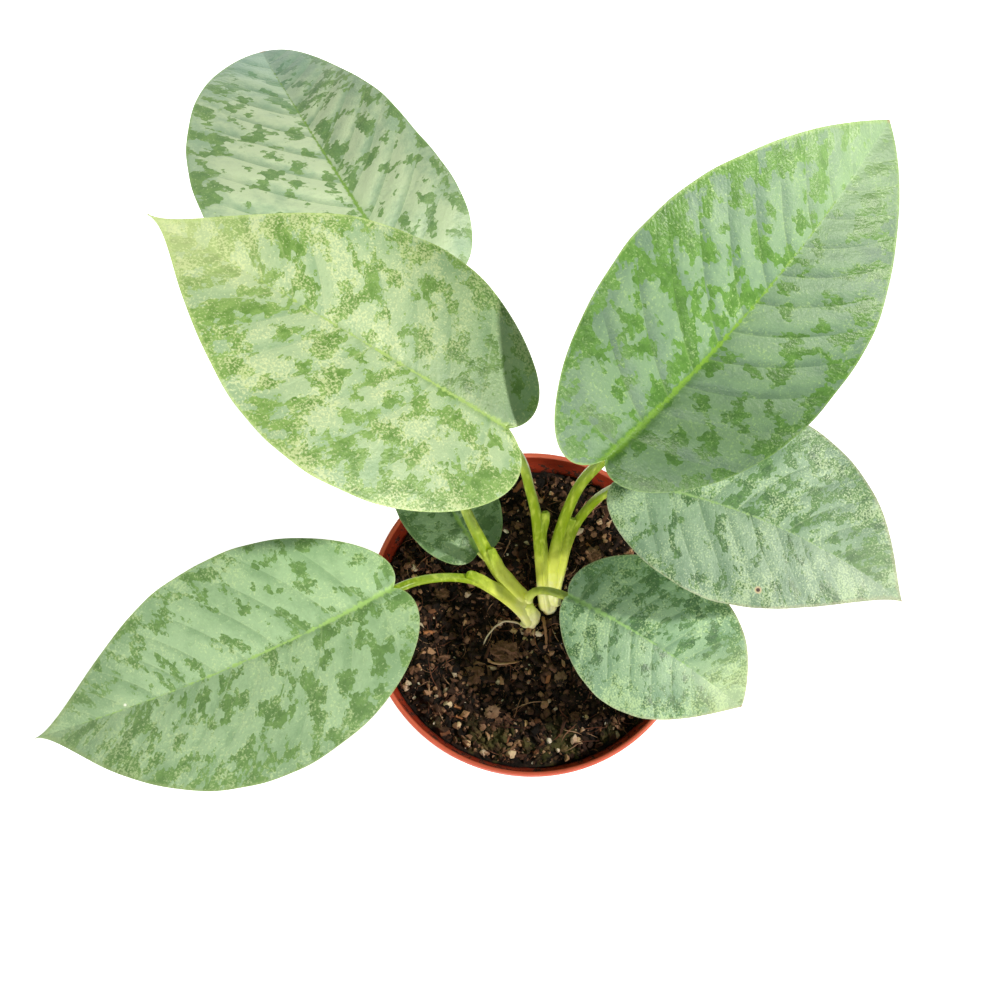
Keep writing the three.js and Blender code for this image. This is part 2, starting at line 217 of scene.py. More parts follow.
def fade(value, start, end):
    """A soft step: 0 where the value is at the start, 1 where it is at the end"""
    return after("MapRange", {"Value": value, "From Min": start, "From Max": end},
                 interpolation_type="SMOOTHSTEP")


def scaled(value, low, high):
    """A value from 0 to 1, brought to the range from low to high"""
    return after("MapRange", {"Value": value, "To Min": low, "To Max": high})


def layer(amount, under, over, way="MIX"):
    """One colour laid over another"""
    return after("Mix", {0: amount, 6: under, 7: over}, output=2, data_type="RGBA", blend_type=way)


def along_axes(place):
    return put(place.id_data, "SeparateXYZ", {0: place}).outputs


def clouding(place, scale, detail, roughness=0.5):
    texture = {"Vector": place, "Scale": scale, "Detail": detail, "Roughness": roughness}
    return after("TexNoise", texture)


def paint(red, green, blue):
    """A colour mixed on the screen, from 0 to 255, as the shaders take it"""
    shares = [value / 255 for value in (red, green, blue)]
    return tuple(c / 12.92 if c < 0.04045 else ((c + 0.055) / 1.055) ** 2.4 for c in shares) + (1,)


def new_group(name, inputs, outputs):
    """A shader group, its inputs, and the node that its outputs are fed to"""
    tree = bpy.data.node_groups.new(name, "ShaderNodeTree")
    for socket, kind in inputs.items():
        tree.interface.new_socket(name=socket, in_out="INPUT", socket_type="NodeSocket" + kind)
    for socket, kind in outputs.items():
        tree.interface.new_socket(name=socket, in_out="OUTPUT", socket_type="NodeSocket" + kind)
    start = tree.nodes.new("NodeGroupInput").outputs
    return tree, start, tree.nodes.new("NodeGroupOutput")


def mottle_group():
    """Cloudy patches with fine grain in them, used wherever a surface isn't quite even"""
    inputs = {"Place": "Vector", "Size": "Float"}
    tree, start, end = new_group("mottle", inputs, {"Tone": "Float", "Grain": "Float"})
    clouds = clouding(start["Place"], start["Size"], 3.0, 0.6)
    grain = clouding(start["Place"], times(start["Size"], 9.0), 2.0, 0.7)
    feed(end, {"Tone": fade(clouds, 0.3, 0.7), "Grain": grain})
    return tree


MOTTLE = mottle_group()


def mottling(place, size):
    """The tone and the grain of a mottled surface, with so many patches to the metre"""
    return put(place.id_data, "Group", {"Place": place, "Size": size}, node_tree=MOTTLE).outputs


def new_material(name):
    """A material with its shader, and the object coordinates that its patterns follow"""
    material = bpy.data.materials.new(name)
    material.use_nodes = True
    nodes = material.node_tree.nodes
    return material, nodes["Principled BSDF"], nodes.new("ShaderNodeTexCoord").outputs["Object"]


def raise_relief(shader, height, depth):
    """Bumps the surface by a height from 0 to 1, depth metres deep"""
    feed(shader, {"Normal": after("Bump", {"Height": height, "Distance": depth, "Strength": 1.0})})


def smooth(piece, angle=180):
    """Shades a piece smooth, apart from the edges that bend by more than so many degrees"""
    make_active(piece)
    if angle == 180:
        bpy.ops.object.shade_smooth()
    else:
        bpy.ops.object.shade_smooth_by_angle(angle=math.radians(angle))


def pot_material(name, base, shade, soiled):
    """Plastic whose wall below the band is darkened with painted shade: only dusty where soiled is 0, and
    soiled near the mix where it is 1
    """
    material, shader, place = new_material(name)
    tone, grain = mottling(place, 38.0)
    height = along_axes(place)[2]
    plastic = layer(tone, base, shade)
    # Painted shade: everything below the band is multiplied darker
    painted_shade_below_band = layer(1.0, plastic, (0.74, 0.66, 0.62, 1), "MULTIPLY")
    plastic = layer(fade(height, 0.097, 0.092), plastic, painted_shade_below_band)
    near_mix = times(fade(height, 0.101, 0.0965), 0.11 * soiled)
    speck = clouding(place, 420.0, 4.0, 0.75)
    dirt = times(fade(plus(speck, near_mix), 0.64, 0.68), 0.35 + 0.6 * soiled)
    rough = plus(scaled(grain, 0.34, 0.5), times(dirt, 0.4))
    feed(shader, {"Base Color": layer(dirt, plastic, paint(52, 32, 22)), "Roughness": rough})
    raise_relief(shader, plus(grain, dirt), 0.00012)
    return material


pot = turned_pot()
drill_drainage(pot)
pot.data.materials.append(pot_material("terracotta_plastic", paint(208, 96, 70), paint(192, 82, 58), 0))
# The inside plastic is a darker copy of the outside: painted shade, with real soil marks near the mix
pot.data.materials.append(pot_material("soiled_and_shaded_plastic", paint(172, 58, 34), paint(140, 42, 20), 1))
for face in pot.data.polygons:
    middle = face.center / MM
    inside = math.hypot(middle.x, middle.y) < pot_wall(middle.z) - WALL / 2
    face.material_index = 1 if inside and middle.z < POT_HEIGHT - 1.5 and middle.z > FLOOR / 2 else 0
smooth(pot, 40)
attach(pot, "root")
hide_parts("pot")


# Potting mix: dark peat and coir with composted bark, pale perlite grains and loose fibres.
# The bed is one rough surface that fills the pot, and the crumbs, chips, grains and fibres lie on it.
# It is damp and nearly black between the crumbs, drier and brown on top, and a little mossy in front.
SOIL_BELOW_LIP = 9
SOIL_LEVEL = POT_HEIGHT - SOIL_BELOW_LIP
SOIL_RADIUS = pot_wall(SOIL_LEVEL - 2) - WALL - 0.3
SOIL_FOOT = FLOOR + 0.3
BED_SPOKES = 220
BED_RINGS = 84
CRUMB_COUNT = 9000
CHIP_COUNT = 130
GRAIN_COUNT = 90
FIBRE_COUNT = 620
SHOOT_FEET = [(0.2, -2.2), (6.9, 1.9)]
SHOOT_CLEARANCE = 4.2
WALL_CLEARANCE = 1.2

# Clumps of matted coir and pale lumps: each has its place across and along the pot, and its half width
KNOTS = [(-9.5, -14.8, 4.3), (-20.2, -22.7, 3.2), (11, -24, 2.4), (-33, 8, 2.6), (24, 22, 2.8),
         (16, -38, 2.2), (-14, -36, 2.6), (-24, 33, 2.5)]
PALE_LUMPS = [(-29.8, -33.3, 1.6), (-7.3, -50.7, 2), (-26.2, -40.9, 1.2), (-22.9, -47.1, 1.4),
              (17.1, -46.3, 1.5), (-6.2, -6.6, 1.3), (-1.8, -9.6, 1.2), (-43, 14, 1.2), (20, -38, 1),
              (28, -30, 1.1), (-2, -40, 1)]


def ease(low, high, value):
    run = np.clip((value - low) / (high - low), 0, 1)
    return run * run * (3 - 2 * run)


def soil_relief(x, y):
    broad = math.sin(x / 9 + 1.3) * math.cos(y / 11 - 0.4)
    fine = math.sin(x / 3.1 - y / 4.3) * math.cos(y / 2.7 + x / 5.2)
    return 0.9 * broad + 0.6 * fine


def soil_height(x, y):
    """The level of the bed, with lumps a few millimetres wide on the broad relief"""
    sink = 1.2 * ease(0.8 * SOIL_RADIUS, SOIL_RADIUS, math.hypot(x, y))
    coarse = noise.noise(Vector((x / 4.2, y / 4.2, 3.1)))
    lumps = coarse + 0.6 * noise.noise(Vector((x / 1.7, y / 1.7, 8.4)))
    return SOIL_LEVEL - 1.2 - sink + soil_relief(x, y) + 1.5 * lumps


def new_grid(name, columns, rows):
    """A flat grid, and how far round and along it each of its points lies, from 0 to 1"""
    deselect_all()
    bpy.ops.mesh.primitive_grid_add(x_subdivisions=columns, y_subdivisions=rows, size=2)
    piece = bpy.context.object
    piece.name = name
    piece.data.name = name
    flat = np.empty(3 * len(piece.data.vertices), np.float32)
    piece.data.vertices.foreach_get("co", flat)
    shares = (flat.reshape(-1, 3).astype(float) + 1) / 2
    return piece, shares[:, 0], shares[:, 1]


def move_points(piece, places):
    """Gives each point of the mesh its place, in millimetres"""
    piece.data.vertices.foreach_set("co", (np.asarray(places) * MM).astype(np.float32).ravel())
    piece.data.update()


def note_points(piece, name, values):
    """Keeps a value or a vector for each point, for the material to read"""
    kind, field = ("FLOAT_VECTOR", "vector") if np.ndim(values) == 2 else ("FLOAT", "value")
    attribute = piece.data.attributes.new(name, kind, "POINT")
    attribute.data.foreach_set(field, np.asarray(values, np.float32).ravel())


def soil_bed():
    """The grid is rolled into rings, its last rows run down the wall and close under the bed"""
    piece, turn, out = new_grid("soil_bed", BED_SPOKES, BED_RINGS)
    top_share = 0.93
    round_x = np.cos(2 * math.pi * turn)
    round_y = np.sin(2 * math.pi * turn)
    radius = SOIL_RADIUS * np.minimum(out / top_share, 1)
    level = np.array([soil_height(x, y) for x, y in zip(radius * round_x, radius * round_y)])
    fall = np.maximum(out - top_share, 0) / (1 - top_share)
    radius = radius + (pot_wall(SOIL_FOOT) - WALL - 0.3 - SOIL_RADIUS) * fall
    level = level + (SOIL_FOOT - level) * fall
    places = np.stack([radius * round_x, radius * round_y, level], axis=1)
    move_points(piece, places)
    tints = [0.02 + 0.22 * noise.noise(Vector((x / 2.3, y / 2.3, 5.5))) for x, y, z in places]
    note_points(piece, "tint", tints)
    tidy_shell(piece)
    return piece


def lumpy_ball(level, roughness, draw):
    """A small ball with pushed and pulled corners"""
    deselect_all()
    bpy.ops.mesh.primitive_ico_sphere_add(subdivisions=level, radius=1)
    ball = bpy.context.object
    corners = [corner.co * (1 + roughness * (draw.random() - 0.5)) for corner in ball.data.vertices]
    faces = np.array([face.vertices[:] for face in ball.data.polygons])
    bpy.data.objects.remove(ball)
    return np.array(corners), faces


def turned(corners, draw, tilt):
    """The corners, turned at random about the upright and tipped by up to tilt radians"""
    spin = draw.uniform(0, 2 * math.pi)
    tip = draw.uniform(-tilt, tilt)
    level, upright = math.cos(tip), math.sin(tip)
    ahead, aside = math.cos(spin), math.sin(spin)
    about_x = np.array([[1, 0, 0], [0, level, -upright], [0, upright, level]])
    about_z = np.array([[ahead, -aside, 0], [aside, ahead, 0], [0, 0, 1]])
    return corners @ about_x.T @ about_z.T


def joined(name, parts):
    """One mesh made of many small parts, each given by its corners, its faces and its tint"""
    starts = np.cumsum([0] + [len(corners) for corners, faces, tint in parts[:-1]])
    corners = np.concatenate([part[0] for part in parts])
    faces = np.concatenate([part[1] + start for part, start in zip(parts, starts)])
    piece = new_piece(name, corners, [], faces.tolist())
    note_points(piece, "tint", np.concatenate([np.full(len(part[0]), part[2]) for part in parts]))
    return piece


def scattered(name, shapes, count, size, flat, tint, seed, tilt=0.6, sink=0.25):
    """Many small pieces lying at random on the mix, clear of the shoots"""
    draw = random.Random(seed)
    parts = []
    while len(parts) < count:
        radius = (SOIL_RADIUS - WALL_CLEARANCE) * math.sqrt(draw.random())
        angle = draw.uniform(0, 2 * math.pi)
        x = radius * math.cos(angle)
        y = radius * math.sin(angle)
        if min(math.dist((x, y), foot) for foot in SHOOT_FEET) < SHOOT_CLEARANCE:
            continue
        corners, faces = draw.choice(shapes)
        width = size(draw)
        stretch = width * np.array([draw.uniform(0.7, 1.5), draw.uniform(0.6, 1.1), flat])
        rise = soil_height(x, y) + width * flat * (1 - 2 * sink) + draw.uniform(0, 0.5)
        corners = turned(corners * stretch, draw, tilt) + np.array([x, y, rise])
        parts.append((corners, faces, tint(draw)))
    return joined(name, parts)


def placed(name, shapes, places, flat, tints, seed):
    """Pieces laid at given places on the mix, each of its own half width"""
    draw = random.Random(seed)
    parts = []
    for x, y, width in places:
        corners, faces = draw.choice(shapes)
        stretch = width * np.array([draw.uniform(0.9, 1.15), draw.uniform(0.8, 1), flat])
        rise = soil_height(x, y) + 0.3 * width * flat
        corners = turned(corners * stretch, draw, 0.4) + np.array([x, y, rise])
        parts.append((corners, faces, draw.uniform(*tints)))
    return joined(name, parts)


def knot_shape(draw):
    """A round clump of matted coir, rough all over and hollow on top"""
    corners, faces = lumpy_ball(4, 0.2, draw)
    corners = np.array([corner * (1 + 0.3 * noise.noise(Vector(corner) * 2.3)
                                  + 0.35 * noise.noise(Vector(corner) * 6.1)) for corner in corners])
    hollow = 0.45 * np.exp(-(corners[:, 0] ** 2 + corners[:, 1] ** 2) / 0.12)
    corners[:, 2] -= np.where(corners[:, 2] > 0, hollow, 0)
    return corners, faces


def chip_shape(draw):
    """A splinter of bark: a flat bar with broken corners"""
    deselect_all()
    bpy.ops.mesh.primitive_cube_add(size=2)
    bar = bpy.context.object
    bpy.ops.object.mode_set(mode="EDIT")
    bpy.ops.mesh.subdivide(number_cuts=1)
    bpy.ops.object.mode_set(mode="OBJECT")
    lengths = Vector((1, draw.uniform(0.35, 0.7), draw.uniform(0.5, 0.9)))
    corners = []
    for corner in bar.data.vertices:
        ragged = Vector([draw.uniform(-0.22, 0.22) for axis in range(3)])
        rounding = 1 - 0.12 * corner.co.length_squared / 3
        corners.append((corner.co * rounding + ragged) * lengths)
    bpy.ops.object.mode_set(mode="EDIT")
    bpy.ops.mesh.select_all(action="SELECT")
    bpy.ops.mesh.quads_convert_to_tris()
    bpy.ops.object.mode_set(mode="OBJECT")
    faces = np.array([face.vertices[:] for face in bar.data.polygons])
    bpy.data.objects.remove(bar)
    return np.array(corners), faces


def fibre_shape(draw):
    """A bent thread of coir with four sides, one unit long each way from its middle"""
    steps = 6
    bend = draw.uniform(-0.5, 0.5)
    curl = draw.uniform(-0.3, 0.3)
    corners = []
    for step in range(steps + 1):
        along = 2 * step / steps - 1
        middle = Vector((along, bend * along * along + curl * along ** 3, 0))
        thick = 0.035 * (1.15 - along * along)
        for side in range(4):
            angle = math.pi * (0.25 + side / 2)
            corners.append(middle + Vector((0, thick * math.cos(angle), thick * math.sin(angle) * 2.2)))
    faces = []
    for step in range(steps):
        for side in range(4):
            a = 4 * step + side
            b = 4 * step + (side + 1) % 4
            faces += [(a, b, b + 4), (a, b + 4, a + 4)]
    last = 4 * steps
    faces += [(0, 2, 1), (0, 3, 2), (last, last + 1, last + 2), (last, last + 2, last + 3)]
    return np.array(corners), np.array(faces)


def noted(material, name, output="Fac"):
    """What note_points has kept for each point of the piece"""
    return put(material.node_tree, "Attribute", attribute_name=name).outputs[output]


def mix_material(name, tones, roughness, relief, moss=0.0):
    """Crumbly matter whose colour runs through the tones with each piece's tint"""
    material, shader, place = new_material(name)
    tone, grain = mottling(place, 260.0)
    tint = plus(noted(material, "tint"), scaled(tone, -0.1, 0.1))
    ramp = put(material.node_tree, "ValToRGB", {0: tint})
    marks = ramp.color_ramp.elements
    while len(marks) < len(tones):
        marks.new(0.5)
    for mark, (position, shade) in zip(marks, tones):
        mark.position = position
        mark.color = shade
    front = fade(along_axes(place)[1], -0.034, -0.048)
    mossy = times(front, moss, fade(clouding(place, 130.0, 3.0), 0.5, 0.62))
    colour = layer(mossy, ramp.outputs[0], paint(112, 112, 58))
    feed(shader, {"Base Color": colour, "Roughness": roughness, "Specular IOR Level": 0.25})
    raise_relief(shader, grain, relief)
    return material


def crumb_size(draw):
    """A half width, like the three below: most are small and a few much larger"""
    return 0.22 + 1.25 * draw.random() ** 4


def chip_size(draw):
    return 0.7 + 1.5 * draw.random() ** 2


def grain_size(draw):
    return 0.3 + 0.8 * draw.random() ** 3


def fibre_size(draw):
    return 1.2 + 3.6 * draw.random() ** 2


def crumb_tint(draw):
    """Nearly half are almost black, many brown, some tan and very few pale"""
    share = draw.random()
    if share < 0.45:
        return draw.uniform(0, 0.2)
    if share < 0.84:
        return draw.uniform(0.25, 0.5)
    return draw.uniform(0.55, 0.85) if share < 0.97 else draw.uniform(0.9, 1)


def any_tint(draw):
    return draw.random()


shape_draw = random.Random(3)
crumb_shapes = [lumpy_ball(1, 1.1, shape_draw) for kind in range(12)]
grain_shapes = [lumpy_ball(2, 0.5, shape_draw) for kind in range(5)]
chip_shapes = [chip_shape(shape_draw) for kind in range(6)]
fibre_shapes = [fibre_shape(shape_draw) for kind in range(8)]
knot_shapes = [knot_shape(shape_draw) for kind in range(3)]

bed = soil_bed()
crumbs = scattered("soil_crumbs", crumb_shapes, CRUMB_COUNT, crumb_size, 0.8, crumb_tint, seed=21)
chips = scattered("bark_chips", chip_shapes, CHIP_COUNT, chip_size, 0.5, any_tint, seed=22)
grains = scattered("perlite_grains", grain_shapes, GRAIN_COUNT, grain_size, 0.8, any_tint, seed=23)
fibres = scattered("coir_fibres", fibre_shapes, FIBRE_COUNT, fibre_size, 1.0, any_tint, seed=24,
                   tilt=0.5, sink=0.4)
knots = placed("coir_knots", knot_shapes, KNOTS, 0.75, (0.2, 0.7), seed=25)
pale_lumps = placed("pale_lumps", grain_shapes, PALE_LUMPS, 0.8, (0, 0.7), seed=26)

PEAT = [(0.0, paint(17, 10, 6)), (0.3, paint(74, 49, 36)), (0.5, paint(128, 92, 70)),
        (0.7, paint(180, 136, 106)), (0.85, paint(194, 146, 108)), (1.0, paint(226, 204, 178))]
BARK = [(0.0, paint(44, 26, 20)), (0.6, paint(96, 60, 42)), (1.0, paint(172, 112, 74))]
PERLITE = [(0.0, paint(196, 164, 124)), (1.0, paint(246, 238, 224))]
COIR = [(0.0, paint(60, 32, 24)), (0.6, paint(128, 80, 60)), (1.0, paint(194, 154, 122))]
MATTED = [(0.0, paint(118, 80, 60)), (0.5, paint(170, 126, 96)), (1.0, paint(216, 180, 148))]
LUMP = [(0.0, paint(214, 168, 118)), (1.0, paint(238, 220, 186))]
peat = mix_material("damp_peat", PEAT, 0.7, 0.0008, moss=0.4)
for piece, material in [(bed, peat), (crumbs, peat), (chips, mix_material("bark", BARK, 0.75, 0.0004)),
                        (grains, mix_material("perlite", PERLITE, 0.85, 0.0003)),
                        (fibres, mix_material("coir", COIR, 0.8, 0.0001)),
                        (knots, mix_material("matted_coir", MATTED, 0.85, 0.0024)),
                        (pale_lumps, mix_material("pale_lump", LUMP, 0.85, 0.0006, moss=0.5))]:
    piece.data.materials.append(material)
    smooth(piece, 180 if piece in (bed, fibres) else 30)
    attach(piece, "root")
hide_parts("soil")


# Shoots: two short stems side by side, from which all the stalks grow.
# They are cream-white and swollen where they come out of the mix, with scars of old leaves round them.
# Dry brown scraps and thin roots lie at their feet.
SHOOTS = {
    "left": {
        "path": [(0.2, -2.2, 74), (0.2, -2.2, 86), (0.2, -2.2, 95), (-0.1, -1.2, 100), (-0.8, 1, 106)],
        "radii": [1.8, 3, 3.4, 3.4, 1.6],
    },
    "right": {
        "path": [(6.9, 1.8, 74), (6.9, 1.8, 86), (6.9, 2, 95), (6.9, 3.2, 98.5), (6.9, 4.4, 100.5)],
        "radii": [1.8, 2.8, 3.2, 3, 2.2],
    },
}


def smooth_path(points, steps):
    """Evenly spaced points along the smooth curve through the given ones, and the way it runs there"""
    knots = np.array(points, float)
    knots = np.vstack([2 * knots[0] - knots[1], knots, 2 * knots[-1] - knots[-2]])
    fine = []
    for a, b, c, d in zip(knots, knots[1:], knots[2:], knots[3:]):
        first, middle, last = (math.sqrt(np.linalg.norm(q - p)) for p, q in [(a, b), (b, c), (c, d)])
        leave = ((b - a) / first - (c - a) / (first + middle) + (c - b) / middle) * middle
        arrive = ((c - b) / middle - (d - b) / (middle + last) + (d - c) / last) * middle
        for run in np.arange(0, 1, 0.02):
            square, cube = run * run, run ** 3
            fine.append(b * (2 * cube - 3 * square + 1) + leave * (cube - 2 * square + run)
                        + c * (3 * square - 2 * cube) + arrive * (cube - square))
    fine = np.array(fine + [knots[-2]])
    gone = np.concatenate([[0], np.cumsum(np.linalg.norm(np.diff(fine, axis=0), axis=1))])
    marks = np.linspace(0, gone[-1], steps + 1)
    line = np.stack([np.interp(marks, gone, fine[:, axis]) for axis in range(3)], axis=1)
    ways = np.gradient(line, axis=0)
    return line, ways / np.linalg.norm(ways, axis=1)[:, None]


def sheath_tube(name, line, ways, ups, half_width, half_height, sides):
    """A closed skin round a line: an oval at each step, its height towards the way up given there"""
    rows = len(line) - 1
    piece, turn, along = new_grid(name, sides, rows)
    row = np.rint(along * rows).astype(int)
    way = ways[row]
    up = ups[row] - way * np.sum(ups[row] * way, axis=1)[:, None]
    up = up / np.linalg.norm(up, axis=1)[:, None]
    across = np.cross(up, way)
    angle = 2 * math.pi * turn
    wide, high = half_width(along, angle), half_height(along, angle)
    places = line[row] + across * (wide * np.cos(angle))[:, None] + up * (high * np.sin(angle))[:, None]
    move_points(piece, places)
    tidy_shell(piece)
    return piece


def shoot_material():
    """A shoot's skin: cream, green above and rusty at the very foot, where the old leaves broke off"""
    material, shader, place = new_material("cream_shoot")
    tone, grain = mottling(place, 240.0)
    height = along_axes(place)[2]
    cream = layer(tone, paint(253, 246, 176), paint(254, 250, 208))
    green = layer(fade(height, 0.099, 0.107), cream, paint(232, 238, 126))
    foot = plus(height, times(tone, 0.003))
    stained = layer(fade(foot, 0.0985, 0.0955), green, paint(206, 150, 84))
    feed(shader, {"Base Color": stained, "Roughness": 0.42, "Subsurface Weight": 0.15,
                  "Subsurface Radius": (0.003, 0.003, 0.0015)})
    raise_relief(shader, grain, 0.00015)
    return material


def make_shoot(name, shoot):
    steps = 60
    line, ways = smooth_path(shoot["path"], steps)
    marks = np.linspace(0, 1, len(shoot["radii"]))

    def radius(along, angle):
        scars = 0.14 * np.sin(along * 70) * (along > 0.6)
        lumps = 0.16 * np.sin(3 * angle + 9 * along) + 0.1 * np.sin(5 * angle - 17 * along)
        return np.interp(along, marks, shoot["radii"]) + scars + lumps

    ups = np.tile([0.0, 1.0, 0.0], (steps + 1, 1))
    return sheath_tube(name, line, ways, ups, radius, radius, 36)


cream = shoot_material()
for side, shoot in SHOOTS.items():
    piece = make_shoot("shoot_" + side, shoot)
    piece.data.materials.append(cream)
    smooth(piece)
    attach(piece, "root")
    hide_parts("crown_" + side)

# Thin roots that lie on the mix beside the shoots, and dry scraps of the sheaths that rotted away
ROOTS = {
    "pale": {
        "path": [(-3, -4.6, 95), (-6, -3.6, 97.6), (-10, -3.6, 98.2), (-14, -6.4, 97.4),
                 (-16.6, -10, 96.2), (-17.4, -12, 94)],
        "radius": 0.42, "tint": 0.9,
    },
    "brown": {
        "path": [(4.6, -1.6, 95.5), (5, -4, 98.4), (5.5, -7.4, 98.2), (5.8, -11, 96.6), (5.6, -13, 94)],
        "radius": 0.7, "tint": 0.25,
    },
    "twig": {
        "path": [(-15.4, -17.6, 95.4), (-12, -18.9, 97.2), (-7, -18.6, 97.4), (-3.4, -17.6, 95.6)],
        "radius": 0.5, "tint": 0.55,
    },
}
SCRAPS = [(-4.6, -4.4, 1.4), (-3, -6.6, 1.2), (1.6, -7, 1.5), (4.4, -5, 1.3), (9.6, -2.6, 1.6),
          (11.6, 0.6, 1.3), (12, 4, 1.4), (2.6, 3.2, 1.2), (-4.4, 1, 1.3), (7.2, -3.4, 1.5)]
DRY = [(0.0, paint(112, 74, 56)), (0.5, paint(172, 130, 92)), (1.0, paint(222, 204, 176))]
dry = mix_material("dry_scraps", DRY, 0.8, 0.0002)


def make_root(name, root):
    steps = 40
    line, ways = smooth_path(root["path"], steps)
    ups = np.tile([0.0, 0.0, 1.0], (steps + 1, 1))

    def half(along, angle):
        return root["radius"] * (1 - 0.4 * along + 0.12 * np.sin(31 * along + angle))

    piece = sheath_tube("root_" + name, line, ways, ups, half, half, 12)
    note_points(piece, "tint", np.full(len(piece.data.vertices), root["tint"]))
    return piece


scraps = placed("dry_scraps", chip_shapes, SCRAPS, 0.22, (0.2, 0.9), seed=27)
for piece in [scraps, *[make_root(name, root) for name, root in ROOTS.items()]]:
    piece.data.materials.append(dry)
    smooth(piece)
    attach(piece, "root")


# Leaves: each is one broad blade on one stalk, and all seven differ in size, carriage and markings.
# base is where the blade meets its stalk, heading the compass way of the midrib and turn how far it
# swings. rise is its slope at the base and droop what it loses of that by the tip. roll tips the blade to
# one side, fold raises its halves, and left is the left side's share of the width. shoulder, taper and
# lobes have a value for the left side and one for the right, for the outline at the base, at the tip and
# in the ears behind the base. point and tip_run make the drawn-out tip. path is the stalk's middle line,
# radii its radius at the foot and under the blade, sheath how far up its sheath reaches, and open the way
# that the sheath faces, in degrees.
LEAVES = {
    "back_left": dict(
        base=(-36.4, 80.9, 190), length=121, width=78, heading=125.3, turn=-11.3, rise=19.7,
        droop=52.4, roll=11.7, fold=8, left=1.165, shoulder=(0.54, 0.24), taper=(0.85, 0.56),
        point=0, tip_run=0.07, lobes=(0.06, 0), radii=(2.7, 1.5), sheath=0.34, open=20,
        path=[(-1.2, -1.2, 99), (-3.2, 3.1, 105), (-6.2, 5.6, 111), (-11.9, 10.1, 122), (-17.8, 17, 139),
                 (-22.5, 23.5, 155), (-26.5, 32.5, 169), (-31.2, 51.7, 181)],
    ),
    "left_high": dict(
        base=(-9.2, 33.5, 207), length=117, width=84, heading=155.9, turn=-7, rise=25.3,
        droop=21.6, roll=11.6, fold=8, left=1.05, shoulder=(0.61, 0.63), taper=(1.14, 1.15),
        point=0.93, tip_run=0.08, lobes=(0.1, 0.08), radii=(2.8, 1.8), sheath=0.52, open=60,
        path=[(5.4, 3.8, 100), (4.9, 6.5, 103), (4.1, 12, 112), (2.6, 17.9, 130), (0.7, 23, 152),
                 (-1.7, 25.6, 171), (-4.8, 29, 190)],
    ),
    "right_high": dict(
        base=(19, 23.8, 207), length=125.5, width=75.7, heading=38, turn=20.7, rise=30,
        droop=29.4, roll=26.9, fold=9, left=1.05, shoulder=(0.66, 0.63), taper=(0.95, 0.89),
        point=0.15, tip_run=0.03, lobes=(0.086, 0.045), radii=(2.4, 1.8), sheath=0.2, open=0,
        path=[(7, 4.4, 101), (7.2, 9, 106), (7.8, 15, 117), (9.3, 20.6, 136), (11.6, 24.4, 157),
                 (14.4, 25.6, 180)],
    ),
    "right": dict(
        base=(25.4, 27.6, 174), length=99, width=63.7, heading=-11.3, turn=-22, rise=8.3,
        droop=29.7, roll=9, fold=9, left=1.07, shoulder=(0.7, 0.63), taper=(0.95, 1.03),
        point=0.52, tip_run=0.104, lobes=(0.04, 0.044), radii=(2.7, 1.6), sheath=0.6, open=-20,
        path=[(8, 4.6, 101), (8.8, 8.6, 104.5), (10, 12.6, 110), (12, 18.9, 123), (15, 23.5, 137),
                 (18.2, 25.8, 148), (21.4, 26.9, 158)],
    ),
    "front_right": dict(
        base=(11.6, -2.3, 140), length=71, width=53.5, heading=-27.4, turn=-7.2, rise=3.1,
        droop=31.7, roll=9.2, fold=9, left=1.045, shoulder=(0.59, 0.7), taper=(0.71, 0.96),
        point=0.31, tip_run=0.086, lobes=(0.039, 0.031), radii=(1.9, 1.4), sheath=0.3, open=0,
        path=[(-0.9, -0.6, 99), (-1.1, 2.6, 104), (-0.5, 3.6, 110), (1.3, 3.6, 118), (3.7, 2.5, 125),
                 (6.8, 0.8, 131)],
    ),
    "left_low": dict(
        base=(-45.6, -3.6, 158), length=122.8, width=75.5, heading=211.5, turn=-18, rise=7.8,
        droop=23, roll=4, fold=8, left=1.035, shoulder=(0.63, 0.64), taper=(0.96, 0.94),
        point=0.93, tip_run=0.113, lobes=(0.055, 0.051), radii=(2.9, 1.5), sheath=0.6, open=10,
        path=[(-0.8, -2.2, 99), (-3.8, 0.2, 104.5), (-7.6, 2.1, 111), (-14, 4.1, 121), (-20.5, 5, 131),
                 (-31, 2.5, 146), (-39.6, -0.9, 154)],
    ),
    "inner_small": dict(
        base=(-18.9, 16.7, 123), length=57, width=35, heading=122, turn=3, rise=12,
        droop=30, roll=0, fold=9, left=1, shoulder=(0.5, 0.5), taper=(0.83, 0.83),
        point=0.5, tip_run=0.07, lobes=(0.05, 0.05), radii=(1.8, 1.2), sheath=0.35, open=0,
        path=[(-2.5, 1.4, 99), (-7.7, 9.3, 104), (-12.5, 13.8, 110.5), (-16.1, 15.7, 117.3)],
    ),
}
BLADE_THICKNESS = 0.7
MARGIN_THICKNESS = 0.35
RIB_HEIGHT = 1
RIB_HALF_WIDTH = 1.6
WAVE_HEIGHT = 0.9


def midrib_way(leaf, along):
    """The way the midrib runs, at a share of its length"""
    run = np.clip(along, 0, 1)
    heading = np.radians(leaf["heading"] + leaf["turn"] * run)
    slope = np.radians(leaf["rise"] - leaf["droop"] * run)
    level = np.cos(slope)
    return np.stack([level * np.cos(heading), level * np.sin(heading), np.sin(slope)], axis=-1)


def midrib_point(leaf, along):
    """A place on the midrib, which runs straight on behind the base"""
    steps = 24
    ahead = np.maximum(along, 0)
    behind = np.minimum(along, 0)
    place = np.array(leaf["base"]) + midrib_way(leaf, 0 * along) * (leaf["length"] * behind)[:, None]
    for step in range(steps):
        way = midrib_way(leaf, ahead * (step + 0.5) / steps)
        place = place + way * (leaf["length"] * ahead / steps)[:, None]
    return place


